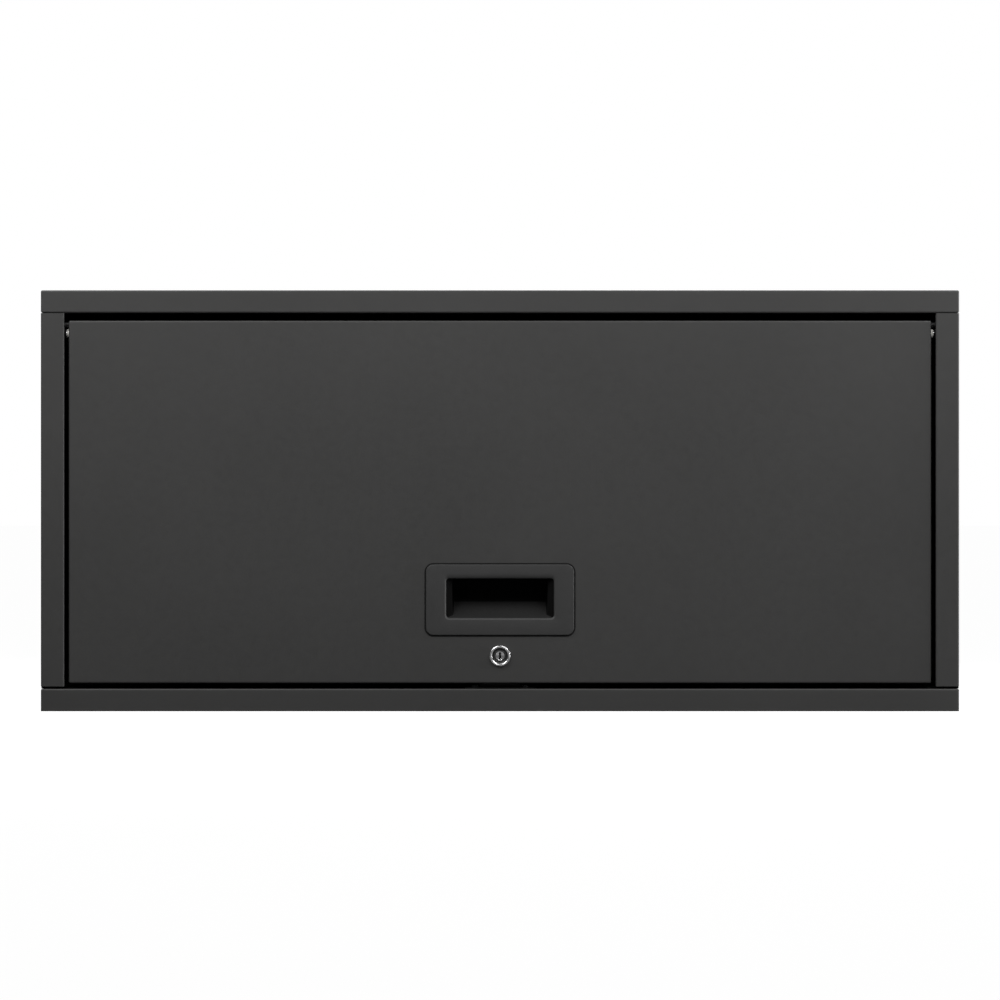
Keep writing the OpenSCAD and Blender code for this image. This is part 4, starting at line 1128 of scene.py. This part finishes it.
class BuildDoorInside(Operator):
    """Inside the door: two stiffeners, two hinge brackets, their rivets, and the liner's screws"""

    bl_idname = "drop_box.build_door_inside"
    bl_label = "Door fittings"

    def execute(self, context):
        stiffeners = []
        for lo, hi in node_boxes("door_stiffeners"):
            path = hat_path(hi[0] - lo[0], hi[1] - lo[1], DOOR_SHEET, 1.5 * MM) * np.array([1, -1])
            path = path + np.array([(lo[0] + hi[0]) / 2, lo[1]])
            stiffeners.append(swept(path, (lo[2], hi[2]), along("Z")))
        finish_piece("door_hats", stiffeners, "door", ["door_stiffeners"], "inner_powder_coat",
                     wall=DOOR_SHEET, centred=True)
        thick = 2 * MM
        half = thick / 2
        for side, name in ((-1, "left"), (1, "right")):
            path = bent_path([(BRACKET_LO.x, BRACKET_LO.y + half), (BRACKET_HI.x - half, BRACKET_LO.y + half),
                              (BRACKET_HI.x - half, BRACKET_HI.y)], 2 * MM, 6)
            split = np.flatnonzero(path[:, 1] > BRACKET_LO.y + half + 2.05 * MM)[0]
            high = np.where(np.arange(len(path) - 1) < split, BRACKET_LO.z + 26 * MM, BRACKET_HI.z)
            shell = curtain(path * np.array([side, 1]), np.full(len(path) - 1, BRACKET_LO.z), high, 5)
            finish_piece(f"{name}_bracket_angle", shell, "door", [f"{name}_hinge_bracket"],
                         "galvanised_steel", wall=thick, centred=True)
        rivets = []
        for lo, hi in node_boxes("bracket_rivets"):
            mid = (lo + hi) / 2
            head = hi[2] - lo[2]
            profile = [(0, 0), (head * 0.42, 0), (head / 2, 0.3 * MM), (head / 2, 0.8 * MM),
                       (head * 0.45, 1 * MM), (2 * MM, 1 * MM), (2 * MM, hi[0] - lo[0]),
                       (0, hi[0] - lo[0])]
            way, start = ("+X", lo[0]) if mid[0] > 0 else ("-X", hi[0])
            rivets.append(lathe(profile, facing(way, (start, mid[1], mid[2])), 32))
        finish_piece("bracket_pop_rivets", rivets, "door", ["bracket_rivets"], "rivet_paint")
        screws = [screw_in("+Y", lo, hi, 3.6 * MM) for lo, hi in node_boxes("liner_screws")]
        finish_piece("liner_pan_screws", screws, "door", ["liner_screws"], "bright_zinc")
        return {"FINISHED"}


class BuildBushes(Operator):
    """Pale nylon bushes that show in the side gaps, and the pins that stop the door upright"""

    bl_idname = "drop_box.build_bushes"
    bl_label = "Bushes and stop pins"

    def execute(self, context):
        bore = 3.05 * MM
        sleeve, flange = 3.7 * MM, 4.2 * MM
        start, face, end = BUSH_LO.x, SKIN_HI.x, BUSH_HI.x
        rim = 0.5 * MM
        profile = [(bore, start + 0.3 * MM), (bore + 0.2 * MM, start), (sleeve - rim, start),
                   (sleeve, start + rim), (sleeve, face), (flange - 0.2 * MM, face),
                   (flange, face + 0.2 * MM), (flange, end - rim), (flange - 0.15 * MM, end - 0.15 * MM),
                   (flange - rim, end), (bore + 0.3 * MM, end), (bore, end - 0.3 * MM)]
        for way, name in (("-X", "left"), ("+X", "right")):
            bush = lathe(profile, facing(way, (0, PIVOT_Y, PIVOT_Z)), loop=True)
            finish_piece(f"{name}_bush_flange", bush, "door", [f"{name}_pivot_bush"],
                         "pale_nylon")
        pins = []
        for lo, hi in node_boxes("stop_pins"):
            mid = (lo + hi) / 2
            inner, outer = sorted((abs(lo[0]), abs(hi[0])))
            thin, thick = 1.5 * MM, (hi[2] - lo[2]) / 2
            profile = [(0, inner), (thin - 0.3 * MM, inner), (thin, inner + 0.3 * MM), (thin, face),
                       (thick - 0.3 * MM, face), (thick, face + 0.3 * MM), (thick, outer - 0.6 * MM),
                       (thick - 0.6 * MM, outer), (0, outer)]
            pins.append(lathe(profile, facing("+X" if mid[0] > 0 else "-X", (0, mid[1], mid[2])), 32))
        # The stop pins are painted near black: painted shade of the side gaps.
        finish_piece("door_stop_pins", pins, "door", ["stop_pins"], "black_paint")
        return {"FINISHED"}


# ---- handle ---------------------------------------------------------------------------------

def pull_opening():
    """Edges of the finger opening: x0, x1, z0, z1."""
    shape, _, _ = settings()
    low = BEZEL_LO.z + shape.pull_rise
    return -shape.pull_width / 2, shape.pull_width / 2, low, low + shape.pull_height


class BuildBezel(Operator):
    """Bezel: a raised frame with a soft outer edge, its inner edge rolled into the finger opening"""

    bl_idname = "drop_box.build_bezel"
    bl_label = "Handle bezel"

    def execute(self, context):
        shape, _, _ = settings()
        x0, x1, z0, z1 = pull_opening()
        front, seat, back = BEZEL_LO.y, SKIN_LO.y, SKIN_INSIDE
        seam, step = shape.bezel_seam, 0.35 * MM
        corner, r = shape.bezel_corner, shape.bezel_edge
        a = np.radians(np.linspace(0, 90, 7))
        steps = [(0, seat), (0, seat - step + 0.1 * MM), (0.1 * MM, seat - step), (seam, seat - step)]
        steps += [(seam + r * (1 - c), front + r * (1 - s)) for c, s in zip(np.cos(a), np.sin(a))]
        rings = [(inset_ring(BEZEL_LO, BEZEL_HI, i, corner - i), y) for i, y in steps]
        deep = back - front - 0.2 * MM
        for c, s in zip(np.cos(a), np.sin(a)):
            i, top = shape.pull_edge * (1 - s), shape.pull_top_edge * (1 - s)
            rings.append((frame_ring(x0 - i, x1 + i, z0 - i, z1 + top, shape.pull_corner + i),
                          front + deep * (1 - c)))
        rings.append((frame_ring(x0, x1, z0, z1, shape.pull_corner), back))
        w = shape.wall
        sleeve = frame_ring(x0 - w, x1 + w, z0 - w, z1 + w, shape.pull_corner + w)
        rings += [(sleeve, back), (sleeve, seat)]
        shells = [lofted(rings, stood_up, loop=True)]
        end = seat + 5.5 * MM
        peg = [(0, seat - 0.2 * MM), (PEG_R, seat - 0.2 * MM), (PEG_R, end - 0.8 * MM),
               (PEG_R - 0.6 * MM, end), (0, end)]
        shells += [lathe(peg, facing("+Y", (x, 0, HANDLE_Z + z)), 24)
                   for x in (-PEG_X, PEG_X) for z in (-PEG_Z, PEG_Z)]
        piece = finish_piece("bezel_frame", shells, "door", ["handle_bezel"],
                             "grained_moulding", smooth=40)
        # The low border at the bezel's foot is painted black and matt: painted shade of the groove between
        # bezel and door.
        mark(piece, "seam", lambda p: (p[:, 1] > seat - step - NEAR) & (np.abs(p[:, 1] - back) > NEAR))
        return {"FINISHED"}


class BuildCup(Operator):
    """Finger pocket: drafted walls and a sloping floor behind the bezel, with a flange and push-on washers"""

    bl_idname = "drop_box.build_cup"
    bl_label = "Finger pocket"

    def execute(self, context):
        shape, _, _ = settings()
        x0, x1, z0, z1 = pull_opening()
        w = shape.wall
        top = z1 + shape.pocket_up
        mouth, rear = CUP_LO.y, CUP_HI.y - w
        flange = 1.5 * MM

        def pocket(t, y, grow):
            u = min(max((y - mouth) / (rear - mouth), 0), 1)
            i = shape.pocket_draft * (0.85 * min(u / 0.15, 1) + 0.15 * u)
            rise = shape.ramp_rise * u
            return frame_ring(x0 + i - grow, x1 - i + grow, z0 + rise - grow, top + grow, t)

        t = np.array([0, 0.05, 0.1, 0.15, 0.25, 0.4, 0.6, 0.8, 1])
        inner = [(pocket(3 * MM, y, 0), y) for y in mouth + (rear - 0.8 * MM - mouth) * t]
        inner.append((pocket(2.2 * MM, rear, -0.8 * MM), rear))
        outer = [(pocket(4.5 * MM, y, w), y)
                 for y in mouth + flange + (CUP_HI.y - 1 * MM - mouth - flange) * t]
        outer.append((pocket(3.5 * MM, CUP_HI.y, w - 1 * MM), CUP_HI.y))
        rim = 0.3 * MM
        front = [(inset_ring(CUP_LO, CUP_HI, i, 7 * MM), y)
                 for i, y in ((rim, mouth), (0, mouth + rim), (0, mouth + flange - rim),
                              (rim, mouth + flange))]
        shell = lofted(inner[::-1] + front + outer, stood_up)
        piece = finish_piece("finger_pocket", shell, "door", ["handle_cup"],
                             "pocket_moulding", smooth=45)
        slope = shape.ramp_rise / (rear - mouth)
        # Every point off the sloping floor is marked deep and painted near black: painted shade inside the
        # pocket.
        mark(piece, "deep", lambda p: np.abs(p[:, 2] - z0 - slope * (p[:, 1] - mouth)) > 0.4 * MM)
        a = full_turn(48)
        teeth = 2.55 * MM + 0.9 * MM * (np.cos(6 * a) > 0.2)
        washers = []
        for lo, hi in node_boxes("handle_push_nuts"):
            mid, r = (lo + hi) / 2, (hi[0] - lo[0]) / 2
            profile = [(teeth, 0.2 * MM), (r * 0.62, 0.0), (r - 0.2 * MM, 0.0), (r, 0.2 * MM),
                       (r, 0.6 * MM), (r * 0.66, 0.6 * MM), (teeth, hi[1] - lo[1])]
            place = facing("+Y", (mid[0], lo[1], mid[2]))
            washers.append(lofted(star_rings(profile, a), place, loop=True))
        finish_piece("push_on_washers", washers, "door", ["handle_push_nuts"], "bright_zinc")
        return {"FINISHED"}


# ---- lock -----------------------------------------------------------------------------------

class BuildLock(Operator):
    """Cam lock: bright face ring with its dish painted dark as a reflection, a threaded barrel painted dark
    as shade behind the skin, washer and chamfered nut
    """

    bl_idname = "drop_box.build_lock"
    bl_label = "Lock housing"

    def execute(self, context):
        r = LOCK_HI.x
        front, seat, end = LOCK_LO.y, SKIN_LO.y, LOCK_HI.y
        bore = PLUG_HI.x + 0.05 * MM
        a = full_turn(64)
        profile = [(bore, seat), (bore, front + 1.35 * MM), (bore + 0.15 * MM, front + 1.2 * MM),
                   (bore + 1.6 * MM, front + 1.1 * MM), (r - 2.6 * MM, front + 0.75 * MM),
                   (r - 2.1 * MM, front + 0.4 * MM), (r - 1.8 * MM, front + 0.12 * MM),
                   (r - 1.4 * MM, front), (r - 0.8 * MM, front), (r - 0.3 * MM, front + 0.2 * MM),
                   (r - 0.05 * MM, front + 0.6 * MM), (r, front + 1 * MM), (r, seat - 0.15 * MM),
                   (r - 0.15 * MM, seat), (LOCK_BARREL * 0.93, seat)]
        pitch = 1.5 * MM
        ys = np.linspace(seat + 0.4 * MM, end - 0.5 * MM, 96)
        depth = 0.055 * np.clip((end - ys) / (2 * MM), 0.3, 1)
        profile += [(LOCK_BARREL * (1 - d / 2 + d / 2 * np.cos(2 * math.pi * y / pitch - a)), y)
                    for y, d in zip(ys, depth)]
        profile += [(LOCK_BARREL * 0.92, end), (bore + 0.3 * MM, end), (bore, end - 0.3 * MM)]
        finish_piece("lock_ring", lofted(star_rings(profile, a), facing("+Y", (0, 0, LOCK_Z)), loop=True),
                     "door", ["lock_housing"], "lock_face_chrome", smooth=50)

        inner = LOCK_BARREL + 0.1 * MM
        flat_washer("lock_flat_washer", "lock_washer", "door", inner, 64)

        flats = (NUT_HI.z - NUT_LO.z) / 2
        six = math.pi / 3
        a = full_turn(96)
        hexagon = flats / np.cos(np.mod(a, six) - six / 2)
        tall = NUT_HI.y - NUT_LO.y
        rim = 0.5 * MM
        crown = np.minimum(hexagon, flats * 1.01)
        profile = [(inner, rim), (inner + rim, 0), (flats * 0.97, 0), (crown, 0.15 * MM),
                   (hexagon, 1.0 * MM), (hexagon, tall - 1.0 * MM), (crown, tall - 0.15 * MM),
                   (flats * 0.97, tall), (inner + rim, tall), (inner, tall - rim)]
        nut = lofted(star_rings(profile, a), facing("+Y", (0, NUT_LO.y, LOCK_Z)), loop=True)
        finish_piece("lock_hex_nut", nut, "door", ["lock_nut"], "bright_zinc", smooth=25)
        return {"FINISHED"}


class BuildPlug(Operator):
    """Turning part of the lock: plug with an upright keyway, cam, washer and screw"""

    bl_idname = "drop_box.build_plug"
    bl_label = "Lock plug and cam"

    def execute(self, context):
        a = full_turn(96)
        r = PLUG_HI.x
        front, back = PLUG_LO.y, CAM_LO.y - 0.5 * MM
        key = slot_radius(a, 0.95 * MM, 3.5 * MM)
        mouth = np.minimum(slot_radius(a, 1.2 * MM, 3.75 * MM), r - 0.5 * MM)
        tail = np.minimum(slot_radius(a, 3 * MM, 3 * MM), 3.9 * MM)
        cone = np.maximum(mouth * 1.03, r * 0.4)
        profile = [(key * 0.9, front + 11.8 * MM), (key, front + 11.5 * MM), (key, front + 1.2 * MM),
                   (mouth, front + 0.9 * MM), (np.minimum(cone, r - 0.5 * MM), front + 0.85 * MM),
                   (r - 0.45 * MM, front), (r - 0.12 * MM, front + 0.12 * MM), (r, front + 0.45 * MM),
                   (r, back - 0.2 * MM), (r - 0.2 * MM, back), (tail, back), (tail, PLUG_HI.y - 0.2 * MM),
                   (tail * 0.94, PLUG_HI.y)]
        plug = lofted(star_rings(profile, a), facing("+Y", (0, 0, LOCK_Z)))
        # The plug is painted dark outside the keyway's mouth, a painted reflection, and inside the keyway, a
        # painted shade.
        finish_piece("keyed_plug", plug, "lock_core", ["lock_plug"], "plug_chrome", smooth=35)

        half = (CAM_HI.z - CAM_LO.z) / 2
        reach = CAM_HI.x
        thick = CAM_HI.y - CAM_LO.y
        rounded_end = [(0.35, 0), (0.1, 0.1), (0, 0.35), (0, thick / MM - 0.35), (0.1, thick / MM - 0.1),
                       (0.35, thick / MM)]
        corner = 3.5 * MM

        def outline(i):
            left = arc((0, 0), half - i, 90, 270, 24)
            low = arc((reach - i - corner, i - half + corner), corner, 270, 360, 8)
            high = arc((reach - i - corner, half - i - corner), corner, 0, 90, 8)
            return np.concatenate([left, low, high])

        cam = lofted([(outline(i * MM), y * MM) for i, y in rounded_end],
                     facing("+Y", (0, CAM_LO.y, LOCK_Z)))
        finish_piece("cam_tongue", cam, "lock_core", ["lock_cam"], "bright_zinc")
        flat_washer("cam_flat_washer", "cam_washer", "lock_core", 1.6 * MM, 48)
        lo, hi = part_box("cam_screw")
        screw = pan_head_screw(facing("+Y", (0, hi.y - SCREW_HEAD, LOCK_Z)), hi.x - lo.x, SCREW_HEAD,
                               3 * MM, hi.y - lo.y - SCREW_HEAD)
        finish_piece("cam_pan_screw", screw, "lock_core", ["cam_screw"], "bright_zinc")
        return {"FINISHED"}


# ---- studio ---------------------------------------------------------------------------------

class BuildStage(Operator):
    """Pale floor, soft studio light and the camera"""

    bl_idname = "drop_box.build_stage"
    bl_label = "Studio"

    def execute(self, context):
        _, _, studio = settings()
        scene = context.scene
        side = 60.0
        me = bpy.data.meshes.new("studio_floor")
        corners = side * np.array([(-1, -1, 0), (1, -1, 0), (1, 1, 0), (-1, 1, 0)])
        me.from_pydata(corners.tolist(), [], [[0, 1, 2, 3]])
        floor = bpy.data.objects.new("studio_floor", me)
        scene.collection.objects.link(floor)
        n = Nodes("pale_floor")
        n.link(n.blend(n.noise(0.6, 2.0), shade(studio.floor, 0.99), studio.floor),
               n.shader.inputs["Base Color"])
        n.plain(Roughness=0.95, Specular_IOR_Level=0.1)
        lit = n.add("ShaderNodeLightPath")
        seen = n.ranged(lit.outputs["Is Camera Ray"], 0, studio.floor_glow, 0, 1)
        n.shader.inputs["Emission Color"].default_value = (1, 1, 1, 1)
        n.link(seen, n.shader.inputs["Emission Strength"])
        me.materials.append(n.material)

        world = bpy.data.worlds.new("studio_room")
        scene.world = world
        world.use_nodes = True
        tree = world.node_tree
        tree.nodes.clear()
        path = tree.nodes.new("ShaderNodeLightPath")
        mix = tree.nodes.new("ShaderNodeMixShader")
        out = tree.nodes.new("ShaderNodeOutputWorld")
        for k, strength in ((1, studio.surround), (2, 1.0)):
            room = tree.nodes.new("ShaderNodeBackground")
            room.inputs["Color"].default_value = (1, 1, 1, 1)
            room.inputs["Strength"].default_value = strength
            tree.links.new(room.outputs["Background"], mix.inputs[k])
        tree.links.new(path.outputs["Is Camera Ray"], mix.inputs["Fac"])
        tree.links.new(mix.outputs["Shader"], out.inputs["Surface"])

        aim = Vector((0, FRONT, 0.22))
        for name, at, size, power in (
                ("key_light", (0.72, FRONT - 0.70, 1.05), (1.1, 0.5), studio.key_power),
                ("fill_light", (-0.72, FRONT - 0.70, 1.12), (1.1, 0.5), studio.fill_power),
                ("edge_light", (1.50, FRONT - 0.07, 0.24), (0.25, 0.5), studio.edge_power),
                ("rear_light", (0.5, BACK + 1.6, 1.1), (1.1, 0.6), studio.rear_power)):
            data = bpy.data.lights.new(name, "AREA")
            data.shape = "RECTANGLE"
            data.size, data.size_y = size
            data.energy = power
            lamp = bpy.data.objects.new(name, data)
            lamp.location = at
            lamp.rotation_mode = "QUATERNION"
            lamp.rotation_quaternion = (aim - lamp.location).to_track_quat("-Z", "Y")
            lamp.visible_camera = False
            scene.collection.objects.link(lamp)

        data = bpy.data.cameras.new("camera")
        data.lens = studio.lens
        data.sensor_width = 36.0
        data.dof.use_dof = False
        away = studio.view_width / 2 / (data.sensor_width / 2 / data.lens)
        data.clip_start, data.clip_end = 0.5, 200.0
        camera = bpy.data.objects.new("camera", data)
        camera.location = (0, FRONT - away, studio.view_height)
        camera.rotation_euler = (math.pi / 2, 0, 0)
        scene.collection.objects.link(camera)
        scene.camera = camera
        scene.view_settings.view_transform = "Standard"
        return {"FINISHED"}


# ---- add-on ---------------------------------------------------------------------------------

GROUPS = (("drop_box_shape", DropBoxShape), ("drop_box_finish", DropBoxFinish),
          ("drop_box_studio", DropBoxStudio))
STEPS = (BuildCap, BuildBase, BuildSides, BuildBack, BuildStiffeners, BuildTracks, FinishRunner,
         BuildStrike, BuildDoor, BuildDoorInside, BuildBushes, BuildBezel, BuildCup, BuildLock, BuildPlug,
         BuildStage)


class DropBoxPanel(Panel):
    """Lists the steps and the settings"""

    bl_idname = "VIEW3D_PT_drop_box"
    bl_label = "Drop Box"
    bl_space_type = "VIEW_3D"
    bl_region_type = "UI"
    bl_category = "Drop Box"

    def draw(self, context):
        steps = self.layout.column(align=True)
        for step in STEPS:
            steps.operator(step.bl_idname)
        for key, group in GROUPS:
            box = self.layout.box()
            for name in group.__annotations__:
                box.prop(getattr(context.scene, key), name)


def register():
    """Registers the settings, the operators and the panel."""
    for key, group in GROUPS:
        bpy.utils.register_class(group)
        setattr(bpy.types.Scene, key, PointerProperty(type=group))
    for step in (*STEPS, DropBoxPanel):
        bpy.utils.register_class(step)


def unregister():
    """Takes everything away again, last first."""
    for step in reversed((*STEPS, DropBoxPanel)):
        bpy.utils.unregister_class(step)
    for key, group in reversed(GROUPS):
        delattr(bpy.types.Scene, key)
        bpy.utils.unregister_class(group)


def main():
    """Registers the add-on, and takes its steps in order."""
    register()
    for step in STEPS:
        group, name = step.bl_idname.split(".")
        if getattr(getattr(bpy.ops, group), name)() != {"FINISHED"}:
            raise RuntimeError(f"{step.bl_label} didn't finish")


if __name__ == "__main__":
    main()
